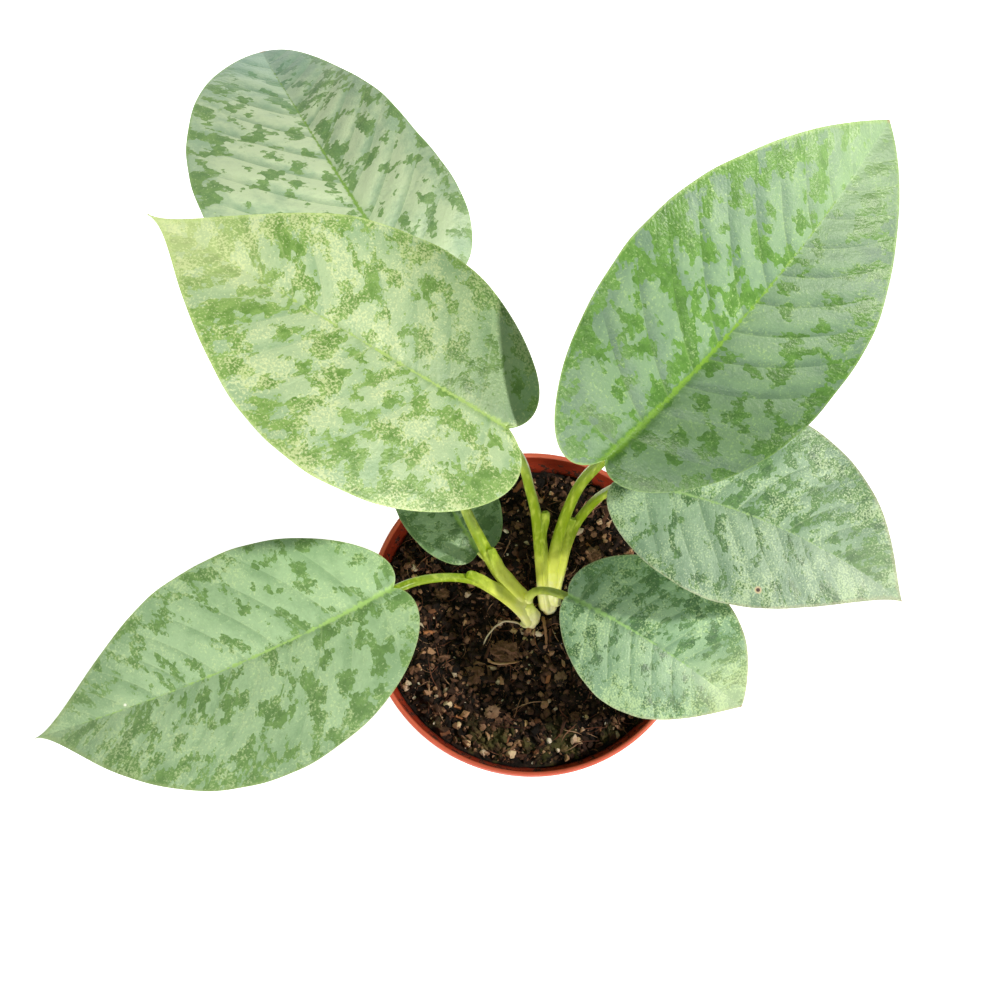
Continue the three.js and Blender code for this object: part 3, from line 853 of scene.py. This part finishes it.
def blade_frame(leaf, along):
    """The way to the left along the blade and the way out of its upper face"""
    way = midrib_way(leaf, along)
    heading = np.radians(leaf["heading"] + leaf["turn"] * np.clip(along, 0, 1))
    level = np.stack([-np.sin(heading), np.cos(heading), 0 * heading], axis=-1)
    roll = math.radians(leaf["roll"])
    side = level * math.cos(roll) + np.cross(way, level) * math.sin(roll)
    return side, np.cross(way, side)


# Stalks: smooth fleshy stalks, cream at the foot and bright yellow-green above, slightly grooved on top.
# Round the lower part of each lies the sheath that held the next leaf. A long one ends in a free strap.
# Every stalk grows out of its shoot and runs into the rib under its blade.
SHEATH_LIFT = 2
SHEATH_WRAP = 1.15
STRAP_HALF_WIDTH = 1.5
STALK_SIDES = 28
STALK_STEPS = 96


def stalk_line(leaf):
    """The stalk's middle line, its ways, and the ways up towards the inside of the plant"""
    side, up = blade_frame(leaf, np.zeros(1))
    seat = np.array(leaf["base"]) - up[0] * (RIB_HEIGHT + leaf["radii"][1] / 2)
    seat = seat + midrib_way(leaf, np.zeros(1))[0] * 2.5
    start = np.array(leaf["path"][0])
    root = start + np.array([0.2, -0.6, -5.5])
    line, ways = smooth_path([tuple(root), *leaf["path"], tuple(seat)], STALK_STEPS)
    rising = np.array([0.0, 0.0, 1.0]) - ways * ways[:, 2:3]
    rising = rising / np.linalg.norm(rising, axis=1)[:, None]
    opened = math.radians(leaf["open"])
    return line, ways, rising * math.cos(opened) + np.cross(ways, rising) * math.sin(opened)


def stem_piece(leaf, line, ways, ups):
    thick, thin = leaf["radii"]

    def half(along, angle):
        radius = thick + (thin - thick) * ease(0, 0.7, along)
        groove = 0.14 * np.exp(-((angle - math.pi / 2) / 0.45) ** 2)
        bends = 0.02 * np.sin(9 * along + 2 * angle)
        return radius * (1 - groove + bends)

    def flatter_half(along, angle):
        return 0.94 * half(along, angle)

    return sheath_tube("stem", line, ways, ups, half, flatter_half, STALK_SIDES)


def strap_piece(leaf, line, ways, ups):
    first = round(0.03 * STALK_STEPS)
    last = round(leaf["sheath"] * STALK_STEPS)
    thick, thin = leaf["radii"]
    run = np.linspace(0, 1, last - first + 1)
    radius = thick + (thin - thick) * ease(0, 0.7, np.linspace(0.03, leaf["sheath"], len(run)))
    free = ease(0.6, 1, run)
    lift = SHEATH_LIFT if leaf["sheath"] > 0.3 else 0
    lifted = line[first:last + 1] + ups[first:last + 1] * (0.5 * radius + lift * free)[:, None]
    wide = SHEATH_WRAP * radius + (STRAP_HALF_WIDTH - SHEATH_WRAP * radius) * free
    high = 1 + (0.45 - 1) * free

    def half_width(along, angle):
        row = np.rint(along * (len(run) - 1)).astype(int)
        blunt = np.sqrt(np.clip(1 - ((along - 0.97) / 0.04) ** 2, 0.2, 1))
        frayed = 1 + 0.04 * np.sin(23 * along + 3 * angle)
        return wide[row] * np.where(along > 0.97, blunt, 1) * frayed

    def half_height(along, angle):
        """Hollow along its middle, because it clasps the stalk"""
        row = np.rint(along * (len(run) - 1)).astype(int)
        return high[row] * (1 + 0.35 * np.abs(np.cos(angle)))

    outward = np.array([0.0, -0.45, 0.9])
    faces_up = ups[first:last + 1] * (1 - free)[:, None] + outward * free[:, None]
    return sheath_tube("strap", lifted, ways[first:last + 1], faces_up, half_width, half_height, 24)


def stalk_material(name, bright, pale):
    """A stalk's skin: cream at the foot, yellow-green above, with fine lengthwise streaks"""
    material, shader, place = new_material(name)
    tone, grain = mottling(place, 130.0)
    height = along_axes(place)[2]
    drawn_out = after("Mapping", {"Vector": place, "Scale": (1, 1, 0.12)})
    streaks = clouding(drawn_out, 700.0, 2.0)
    uneven = plus(height, times(tone, -0.008))
    skin = layer(fade(uneven, 0.103, 0.134), pale, bright)
    skin = layer(fade(uneven, 0.109, 0.097), skin, paint(254, 250, 184))
    skin = layer(times(fade(streaks, 0.45, 0.75), 0.35), skin, paint(230, 240, 112))
    skin = layer(times(tone, 0.12), skin, paint(128, 160, 36))
    ragged = plus(height, times(grain, 0.004))
    skin = layer(fade(ragged, 0.0985, 0.0965), skin, paint(206, 158, 92))
    feed(shader, {"Base Color": skin, "Roughness": 0.36, "Subsurface Weight": 0.25,
                  "Subsurface Radius": (0.002, 0.0022, 0.0005)})
    raise_relief(shader, streaks, 0.00012)
    return material


def make_stalk(name, leaf):
    line, ways, ups = stalk_line(leaf)
    stem = stem_piece(leaf, line, ways, ups)
    strap = strap_piece(leaf, line, ways, ups)
    apply_modifier(stem, "BOOLEAN", object=strap, operation="UNION", solver="MANIFOLD")
    bpy.data.objects.remove(strap)
    stem.name = "petiole_" + name
    return stem


fresh = stalk_material("fresh_stalk", paint(124, 148, 8), paint(242, 246, 112))
older = stalk_material("older_stalk", paint(140, 158, 46), paint(208, 218, 112))
for name, leaf in LEAVES.items():
    piece = make_stalk(name, leaf)
    piece.data.materials.clear()
    piece.data.materials.append(older if name in ("front_right", "inner_small") else fresh)
    smooth(piece, 50)
    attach(piece, "root")
    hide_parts("stalk_" + name)


# Blades: thin leathery blades with a sunk midrib, and side veins that sweep forward to the margin.
# Between the veins the blade is gently quilted, and it thins to a fine pale margin.
# The upper face is silvery with ragged green patches and cream flecks, which show faintly underneath.
BLADE_ROWS = 132
BLADE_COLUMNS = 128
CHANNEL_DEPTH = 0.45
CHANNEL_HALF_WIDTH = 1.3
UNEVEN_MARGIN = 0.0026


def blade_outline(leaf, reach, left_side):
    """How far out the margin lies at a share of the midrib's length, where 1 is the farthest"""
    shoulder = np.where(left_side, *leaf["shoulder"])
    taper = np.where(left_side, *leaf["taper"])
    peak = shoulder / (shoulder + taper)
    widest = peak ** shoulder * (1 - peak) ** taper
    narrowing = 1 - leaf["point"] * np.exp((reach - 1) / leaf["tip_run"])
    spread = reach ** shoulder * np.maximum(1 - reach, 0) ** taper * narrowing / widest
    return np.where((reach > 0) & (reach < 1), np.maximum(spread, 0.0003), spread)


def blade_lift(leaf, across, spread, offset, along, rib_reach):
    """How high the sheet rises: its fold and dish, the waves of its margin, and its pleats"""
    out = np.abs(across)
    half = leaf["width"] / 2
    dish = 0.1 * half * (offset / half) ** 2
    wave = WAVE_HEIGHT * spread * out ** 3 * np.sin(5 * math.pi * along + 2 * across)
    vein = rib_reach * leaf["length"] / leaf["veins"] + np.where(across > 0, 0.5, 0.0)
    quilted = ease(0, 5, np.abs(offset)) * (1 - out ** 4) * ease(0, 0.35, spread)
    pleat = leaf["pleat"] * (np.sqrt(np.sin(math.pi * vein) ** 2 + 0.03) - 0.6) * quilted
    return np.abs(offset) * math.sin(math.radians(leaf["fold"])) - dish + wave + pleat


def blade_surface(leaf, step, across):
    """The middle sheet, with step from base to tip and across from the right margin to the left"""
    arc = math.pi * step
    reach = (1 - np.cos(arc)) / 2
    left_side = across > 0
    spread = blade_outline(leaf, reach, left_side)
    ear = np.minimum(arc / 1.3, 1)
    lobe = np.where(left_side, *leaf["lobes"])
    margin_reach = reach - lobe * 6.75 * ear * (1 - ear) ** 2
    rib_reach = reach + leaf["sweep"] * (reach ** 2.6 - reach)
    out = np.abs(across)
    along = rib_reach + (margin_reach - rib_reach) * (0.6 * out + 0.4 * across * across)
    share = np.where(left_side, leaf["left"], 2 - leaf["left"])
    half = leaf["width"] / 2
    uneven = np.sin(29 * reach + 3 * across) + 0.8 * np.sin(53 * reach - leaf["heading"])
    offset = half * spread * across * share * (1 + UNEVEN_MARGIN * out ** 6 * uneven)
    lift = blade_lift(leaf, across, spread, offset, along, rib_reach)
    side, up = blade_frame(leaf, along)
    place = midrib_point(leaf, along) + side * (offset * math.cos(math.radians(leaf["fold"])))[:, None]
    place = place + up * lift[:, None]
    rib = RIB_HEIGHT * np.exp(-(offset / RIB_HALF_WIDTH) ** 2) * (1 - 0.8 * reach)
    channel = CHANNEL_DEPTH * np.exp(-(offset / CHANNEL_HALF_WIDTH) ** 2) * (1 - 0.9 * reach)
    channel = channel * ease(0, 0.2, spread)
    in_from_margin = half * spread * share * (1 - out)
    vein_space = np.stack([rib_reach * leaf["length"], offset, in_from_margin], axis=-1)
    flat_place = np.stack([along * leaf["length"], offset, np.zeros_like(offset)], axis=-1)
    return place, up, rib, channel, vein_space, flat_place


def make_blade(name, leaf):
    """The grid is wrapped round the blade: half of it over the upper face and half under it"""
    piece, turn, step = new_grid("leaf_" + name, BLADE_COLUMNS, BLADE_ROWS)
    over = np.cos(2 * math.pi * turn)
    above = turn < 0.5
    across = np.sign(over) * np.abs(over) ** 1.15
    across = np.where(np.abs(across) < 1e-6, 0, across)
    place, up, rib, channel, vein_space, flat_place = blade_surface(leaf, step, across)
    half = (BLADE_THICKNESS + (MARGIN_THICKNESS - BLADE_THICKNESS) * np.abs(across) ** 6) / 2
    lift = np.where(above, half - channel, -half - rib)
    lift = np.where(np.isclose(np.abs(across), 1), 0, lift)
    move_points(piece, place + up * lift[:, None])
    note_points(piece, "vein_space", vein_space)
    note_points(piece, "flat_place", flat_place)
    note_points(piece, "underside", np.where(above, 0.0, 1.0))
    tidy_shell(piece, seam=0.0003)
    return piece


MARK_NUMBERS = ("seed", "length", "veins", "pleat", "patches", "patch_size", "stretch", "rim_green",
                "left_green", "breaks", "flecks", "rib_half", "rib_end", "rib_glow", "right_shade",
                "base_shade", "lobe_shade", "tip_amount")
MARK_COLOURS = ("ground", "sheen", "patch", "deep", "fleck", "rib", "tip", "edge")


def blade_places(start):
    """Where a point of the blade lies, in millimetres, and the noises that its markings follow

    vein_space runs forward with the side veins, which lie half a space apart on the two sides of the
    midrib, and flat_place doesn't."""
    x, y, margin = along_axes(start["vein_space"])
    flat_x = along_axes(start["flat_place"])[0]
    between = plus(times(x, 0.4), times(flat_x, 0.6))
    left = maths("GREATER_THAN", y, 0.0)
    vein = plus(maths("DIVIDE", x, start["veins"]), times(left, 0.5))
    within = maths("FRACT", vein)
    from_middle = maths("ABSOLUTE", plus(within, -0.5))

    def speckle(run, wide, long, detail, roughness):
        """Noise whose grains are so many millimetres wide along the midrib and so long off it"""
        spot = after("CombineXYZ", {0: times(run, 1 / wide), 1: times(y, 1 / long), 2: start["seed"]})
        return clouding(spot, 1.0, detail, roughness)

    return SimpleNamespace(
        x=x, y=y, between=between, left=left, margin=margin, within=within,
        off=maths("ABSOLUTE", y),
        run=maths("DIVIDE", x, start["length"]),
        near_margin=fade(margin, 10.0, 0.0),
        band=maths("FLOOR", vein),
        to_vein=times(maths("SUBTRACT", 0.5, from_middle), start["veins"]),
        dust=speckle(flat_x, 0.6, 0.65, 2.0, 0.6),
        barbs=speckle(x, 1.4, 7.0, 2.0, 0.6),
        fine=speckle(flat_x, 1.5, 1.7, 3.0, 0.75),
        grain=speckle(between, 2.2, 3.2, 3.0, 0.65),
        clouds=speckle(between, 9.0, 13.0, 2.0, 0.5),
    )


def ragged_patches(start, at):
    """A broad noise, the patches that it makes, and the small cells between the finest veins

    The noise is read at the middle of each cell, which makes the patches ragged."""
    cell_wide, cell_long = 0.85, 1.4
    across_cells, along_cells = times(at.between, 1 / cell_wide), times(at.y, 1 / cell_long)
    cell_place = after("CombineXYZ", {0: across_cells, 1: along_cells, 2: start["seed"]})
    cells = put(cell_place.id_data, "TexVoronoi", {"Vector": cell_place, "Scale": 1.0}).outputs
    cell_x, cell_y = along_axes(cells["Position"])[:2]
    cell_tone = after("SeparateColor", {0: cells["Color"]})
    broad_x = maths("DIVIDE", times(cell_x, cell_wide), start["patch_size"])
    broad_y = maths("DIVIDE", times(cell_y, cell_long), times(start["patch_size"], start["stretch"]))
    jump = plus(start["seed"], times(at.band, 0.22))
    broad = clouding(after("CombineXYZ", {0: broad_x, 1: broad_y, 2: jump}), 1.0, 2.0)
    level = plus(broad, times(start["patches"], 0.4), -0.2, times(at.near_margin, start["rim_green"]),
                 times(plus(at.left, -0.5), start["left_green"]), times(plus(cell_tone, -0.5), 0.07),
                 times(plus(at.fine, -0.5), start["breaks"]), times(fade(at.run, 0.8, 0.98), -0.16))
    return broad, fade(level, 0.485, 0.515), cells


def patched(start, at, broad, patch):
    """Dull to silvery ground with painted light on one side of each pleat, and green patches and cream
    flecks

    The flecks are as fine as grains, thick in some clouds and towards the margin, and absent elsewhere."""
    # Painted light: the ground grows lighter across each pleat, away from the vein behind it
    painted_flank_light = times(fade(at.within, 0.02, 0.55), fade(at.margin, 2.0, 12.0))
    tone = plus(times(at.clouds, 0.75), times(at.grain, 0.55), times(painted_flank_light, 0.22), -0.3)
    ground = layer(fade(tone, 0.2, 0.62), start["ground"], start["sheen"])
    depth = fade(plus(times(broad, 0.6), times(at.grain, 0.5)), 0.5, 0.72)
    green = layer(depth, start["patch"], start["deep"])
    dense = times(plus(fade(at.clouds, 0.4, 0.65), times(at.near_margin, 0.5)), start["flecks"])
    fleck = fade(plus(times(at.dust, 0.7), times(at.fine, 0.3), times(dense, 0.12)), 0.56, 0.7)
    flecked = layer(times(fleck, 0.6), layer(patch, ground, green), start["fleck"])
    return layer(times(fade(at.run, 0.55, 0.95), start["tip_amount"]), flecked, start["tip"])


def ribbed(start, at, colour):
    """Adds a ragged midrib that thins out, green dashes beside it, faint side veins and a pale margin"""
    thinning = fade(at.run, start["rib_end"], 0.0)
    rib_half = times(start["rib_half"], plus(times(thinning, 0.8), 0.2))
    softness = plus(times(fade(at.x, 34.0, 0.0), start["rib_half"]), 0.2)
    fray = plus(times(at.barbs, 0.7), times(at.dust, 0.3), -0.5)
    ragged = plus(at.off, times(fray, plus(softness, softness, 2.4)))
    glow_half = plus(times(rib_half, 2.4), 2.4, times(plus(at.barbs, -0.5), 12.0))
    glow = times(fade(plus(ragged, times(at.x, 0.02)), glow_half, 0.0), start["rib_glow"])
    glowing = layer(times(glow, fade(at.run, 0.85, 0.2)), colour, start["deep"])
    side_line = times(fade(at.to_vein, 0.5, 0.05), fade(at.off, 26.0, 2.0), 0.16)
    lined = layer(side_line, glowing, start["fleck"])
    rib = fade(ragged, plus(rib_half, softness), plus(rib_half, -0.35))
    rib = times(rib, fade(at.run, plus(start["rib_end"], 0.15), start["rib_end"]))
    uneven_edge = plus(at.margin, times(plus(at.fine, -0.5), 1.6))
    edge = times(fade(uneven_edge, 0.8, 0.2), 0.5)
    return layer(edge, layer(rib, lined, start["rib"]), start["edge"])


def shaded(start, at, colour):
    """Paints shade over the right side, the base and the right lobe, and in a band just past each vein

    The very tips are dry and brown."""
    # All of this is painted shade: a darker right side, base and right lobe, and a dark band just past each
    # vein
    beside = fade(at.y, 1.0, -3.0)
    near_base = fade(at.run, 0.45, 0.0)
    painted_crease_shade = times(fade(at.within, 0.3, 0.0), fade(at.margin, 3.0, 14.0), start["pleat"], 0.42)
    shade = plus(times(beside, start["right_shade"]), times(near_base, start["base_shade"]),
                 times(beside, near_base, start["lobe_shade"]), painted_crease_shade)
    painted_shade_colour = layer(shade, colour, layer(1.0, colour, (0.45, 0.52, 0.42, 1), "MULTIPLY"))
    dry_tip = times(fade(plus(at.run, times(at.grain, 0.01)), 0.99, 1.0), 0.7)
    return layer(dry_tip, painted_shade_colour, paint(176, 142, 104))


def variegation_group():
    """A blade's colour, the mask of its patches, and its relief: sunk veins, fine ripples and small cells"""
    inputs = dict.fromkeys(("vein_space", "flat_place"), "Vector")
    inputs.update(dict.fromkeys(MARK_NUMBERS, "Float"))
    inputs.update(dict.fromkeys(MARK_COLOURS, "Color"))
    outputs = {"Color": "Color", "Height": "Float", "Patch Mask": "Float"}
    tree, start, end = new_group("variegation", inputs, outputs)
    at = blade_places(start)
    broad, patch, cells = ragged_patches(start, at)
    colour = shaded(start, at, ribbed(start, at, patched(start, at, broad, patch)))
    sunk = fade(at.to_vein, 0.0, 0.8)
    height = plus(times(sunk, 0.12), times(at.grain, 0.5), times(at.dust, 0.3),
                  times(cells["Distance"], -0.2))
    feed(end, {"Color": colour, "Height": height, "Patch Mask": patch})
    return tree


VARIEGATION = variegation_group()

# What each leaf's markings are like: veins is the space between side veins, pleat how high the blade
# swells between them and how dark the painted shade just past each vein is, and sweep how far forward
# they run. patches is how much of the blade is patched, patch_size and stretch the patches' width in
# millimetres and how drawn out they are, and rim_green and left_green how many more there are at the
# margins and on the left side. breaks frays them, and flecks is how thick the cream flecks are. rib_half
# and rib_end are the midrib's half width and how far it runs, and rib_glow the green round it.
# right_shade, base_shade and lobe_shade are how much painted shade darkens the right side, the base and
# the right lobe, and tip_amount how strongly the tip takes its tip colour; on back_left that colour is a
# painted bluish reflection.
FINISHES = {
    "back_left": dict(
        veins=10, pleat=0.75, sweep=0.8, patches=0.36, patch_size=4.8, stretch=1.35, rim_green=0.05,
        breaks=0.1, flecks=0.15, rib_half=0.9, rib_end=0.8, rib_glow=0.35,
        right_shade=0.22, tip_amount=0.6,
        ground=(158, 186, 152), sheen=(202, 220, 180), patch=(134, 168, 102),
        deep=(112, 148, 92), fleck=(206, 226, 172), rib=(130, 170, 78),
        # The tip colour is a painted bluish reflection where the apex bends away
        tip=(124, 170, 152), edge=(150, 186, 116),
    ),
    "left_high": dict(
        veins=10, pleat=0.2, sweep=0.65, patches=0.44, patch_size=4.8, stretch=1.3, rim_green=0.08,
        left_green=0.02, breaks=0.3, flecks=1, rib_half=0.5, rib_end=0.75, rib_glow=0.6,
        base_shade=0.1, lobe_shade=0.9, tip_amount=0.5,
        ground=(158, 189, 142), sheen=(184, 209, 159), patch=(140, 178, 92),
        deep=(104, 146, 62), fleck=(234, 244, 184), rib=(176, 208, 112),
        tip=(240, 252, 184), edge=(210, 234, 150),
    ),
    "right_high": dict(
        veins=10, pleat=0.7, sweep=0.66, patches=0.4, patch_size=5.2, stretch=1.3, rim_green=0.1,
        left_green=0.03, breaks=0.06, flecks=0.35, rib_half=0.9, rib_end=0.72, rib_glow=1,
        right_shade=0.4, base_shade=0.5, lobe_shade=0.5, tip_amount=0.4,
        ground=(112, 144, 114), sheen=(138, 171, 128), patch=(104, 152, 62),
        deep=(80, 126, 44), fleck=(182, 214, 138), rib=(122, 168, 44),
        tip=(192, 226, 164), edge=(184, 216, 126),
    ),
    "right": dict(
        veins=8.5, pleat=0.22, sweep=0.7, patches=0.42, patch_size=4, stretch=1.3, rim_green=0.04,
        left_green=0.09, breaks=0.3, flecks=0.9, rib_half=0.45, rib_end=0.7, rib_glow=0.3,
        tip_amount=0.2,
        ground=(118, 148, 118), sheen=(146, 174, 142), patch=(102, 140, 82),
        deep=(76, 110, 70), fleck=(206, 228, 178), rib=(150, 184, 118),
        tip=(206, 222, 186), edge=(176, 176, 142),
    ),
    "front_right": dict(
        veins=8, pleat=0.2, sweep=0.62, patches=0.42, patch_size=3.8, stretch=1.3, rim_green=0.02,
        left_green=0.06, breaks=0.34, flecks=0.85, rib_half=0.55, rib_end=0.7, rib_glow=0.6,
        base_shade=0.3, tip_amount=0.35,
        ground=(118, 152, 118), sheen=(144, 176, 136), patch=(96, 134, 82),
        deep=(74, 108, 70), fleck=(200, 226, 166), rib=(146, 186, 112),
        tip=(202, 214, 164), edge=(184, 190, 146),
    ),
    "left_low": dict(
        veins=10, pleat=0.22, sweep=0.7, patches=0.36, patch_size=4.8, stretch=1.2, rim_green=0.06,
        left_green=0.05, breaks=0.24, flecks=0.65, rib_half=0.6, rib_end=0.76, rib_glow=0.45,
        tip_amount=0.35,
        ground=(144, 177, 132), sheen=(170, 201, 154), patch=(124, 161, 92),
        deep=(102, 138, 78), fleck=(206, 228, 170), rib=(170, 208, 120),
        tip=(150, 176, 132), edge=(166, 188, 126),
    ),
    "inner_small": dict(
        veins=7, pleat=0.2, sweep=0.55, patches=0.5, patch_size=3.6, stretch=1.3, rim_green=0.02,
        breaks=0.2, flecks=0.4, rib_half=0.6, rib_end=0.7, rib_glow=0.3,
        base_shade=0.3, tip_amount=0.1,
        ground=(124, 150, 116), sheen=(144, 170, 132), patch=(96, 126, 80),
        deep=(82, 112, 70), fleck=(186, 206, 152), rib=(140, 174, 88),
        tip=(140, 168, 120), edge=(150, 176, 116),
    ),
}


# Small scars: place across and along the pot, radius, and the colours of the dot and the ring round it
SCARS = {
    "right": ((67.7, -7.3), 0.65, paint(70, 46, 34), paint(206, 190, 150)),
    "left_low": ((-127.8, -40.4), 0.5, paint(240, 246, 226), paint(176, 200, 156)),
}


def add_scar(place, colour, scar):
    (x, y), radius, dot_colour, ring_colour = scar
    flat = after("VectorMath", {0: place, 1: (1, 1, 0)}, operation="MULTIPLY")
    away = after("VectorMath", {0: flat, 1: (x * MM, y * MM, 0)}, output="Value", operation="DISTANCE")
    ringed = layer(fade(away, 2 * radius * MM, 1.4 * radius * MM), colour, ring_colour)
    return layer(fade(away, 1.1 * radius * MM, 0.7 * radius * MM), ringed, dot_colour)


def blade_material(name, leaf, finish, seed):
    """A mark that isn't given for a leaf is 0"""
    material, shader, place = new_material("blade_" + name)
    values = {**finish, "seed": seed, "length": leaf["length"]}
    inputs = {key: noted(material, key, "Vector") for key in ("vein_space", "flat_place")}
    inputs.update({key: float(values.get(key, 0)) for key in MARK_NUMBERS})
    inputs.update({key: paint(*values[key]) for key in MARK_COLOURS})
    marks = put(material.node_tree, "Group", inputs, node_tree=VARIEGATION).outputs
    upper = marks["Color"]
    if name in SCARS:
        upper = add_scar(place, upper, SCARS[name])
    under = layer(mottling(place, 90.0)["Tone"], paint(146, 182, 120), paint(162, 196, 134))
    faint = layer(0.8, marks["Color"], under)
    colour = layer(noted(material, "underside"), upper, faint)
    feed(shader, {"Base Color": colour, "Roughness": scaled(marks["Patch Mask"], 0.48, 0.4)})
    raise_relief(shader, marks["Height"], 0.0003)
    return material


for number, (name, leaf) in enumerate(LEAVES.items()):
    leaf.update({key: FINISHES[name][key] for key in ("veins", "pleat", "sweep")})
    piece = make_blade(name, leaf)
    piece.data.materials.append(blade_material(name, leaf, FINISHES[name], seed=11.3 * number + 2))
    smooth(piece, 60)
    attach(piece, "root")
    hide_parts("blade_" + name)


# Studio: a plain near-white floor, an even white surround, a soft key light and a low fill from the front.
# The key stands halfway up on the right, so the high leaves shade the ones beside them.
# The fill reaches under the leaves and lights the shoots.
KEY_TURN = -4
KEY_HEIGHT = 47
KEY_STRENGTH = 2.9
KEY_SOFTNESS = 3
FILL_TURN = -98
FILL_HEIGHT = 16
FILL_STRENGTH = 2.1
FILL_SOFTNESS = 30
SURROUND_STRENGTH = 0.22
FLOOR_GLOW = 0.78


def floor_material():
    material, shader, place = new_material("pale_floor")
    colour = layer(mottling(place, 2.0)["Tone"], paint(246, 246, 246), paint(250, 250, 250))
    feed(shader, {"Base Color": colour, "Roughness": 0.9, "Emission Color": (1, 1, 1, 1),
                  "Emission Strength": FLOOR_GLOW})
    return material


deselect_all()
bpy.ops.mesh.primitive_plane_add(size=6)
floor = bpy.context.object
floor.name = "studio_floor"
floor.data.materials.append(floor_material())


def sun(name, turn, height, strength, softness, colour):
    """A distant light: turn is its way round from the right, and height how far up it is, in degrees"""
    deselect_all()
    bpy.ops.object.light_add(type="SUN", location=(1, 0.4, 2))
    light = bpy.context.object
    light.name = name
    light.rotation_euler = (math.radians(90 - height), 0, math.radians(90 + turn))
    light.data.energy = strength
    light.data.angle = math.radians(softness)
    light.data.color = colour


sun("key_light", KEY_TURN, KEY_HEIGHT, KEY_STRENGTH, KEY_SOFTNESS, (1.0, 0.97, 0.9))
sun("front_fill", FILL_TURN, FILL_HEIGHT, FILL_STRENGTH, FILL_SOFTNESS, (1.0, 0.98, 0.92))

surround = bpy.data.worlds.new("white_surround")
surround.use_nodes = True
background = surround.node_tree.nodes["Background"]
background.inputs["Color"].default_value = (0.93, 0.97, 1.0, 1)
background.inputs["Strength"].default_value = SURROUND_STRENGTH
bpy.context.scene.world = surround
bpy.context.scene.view_settings.view_transform = "Standard"
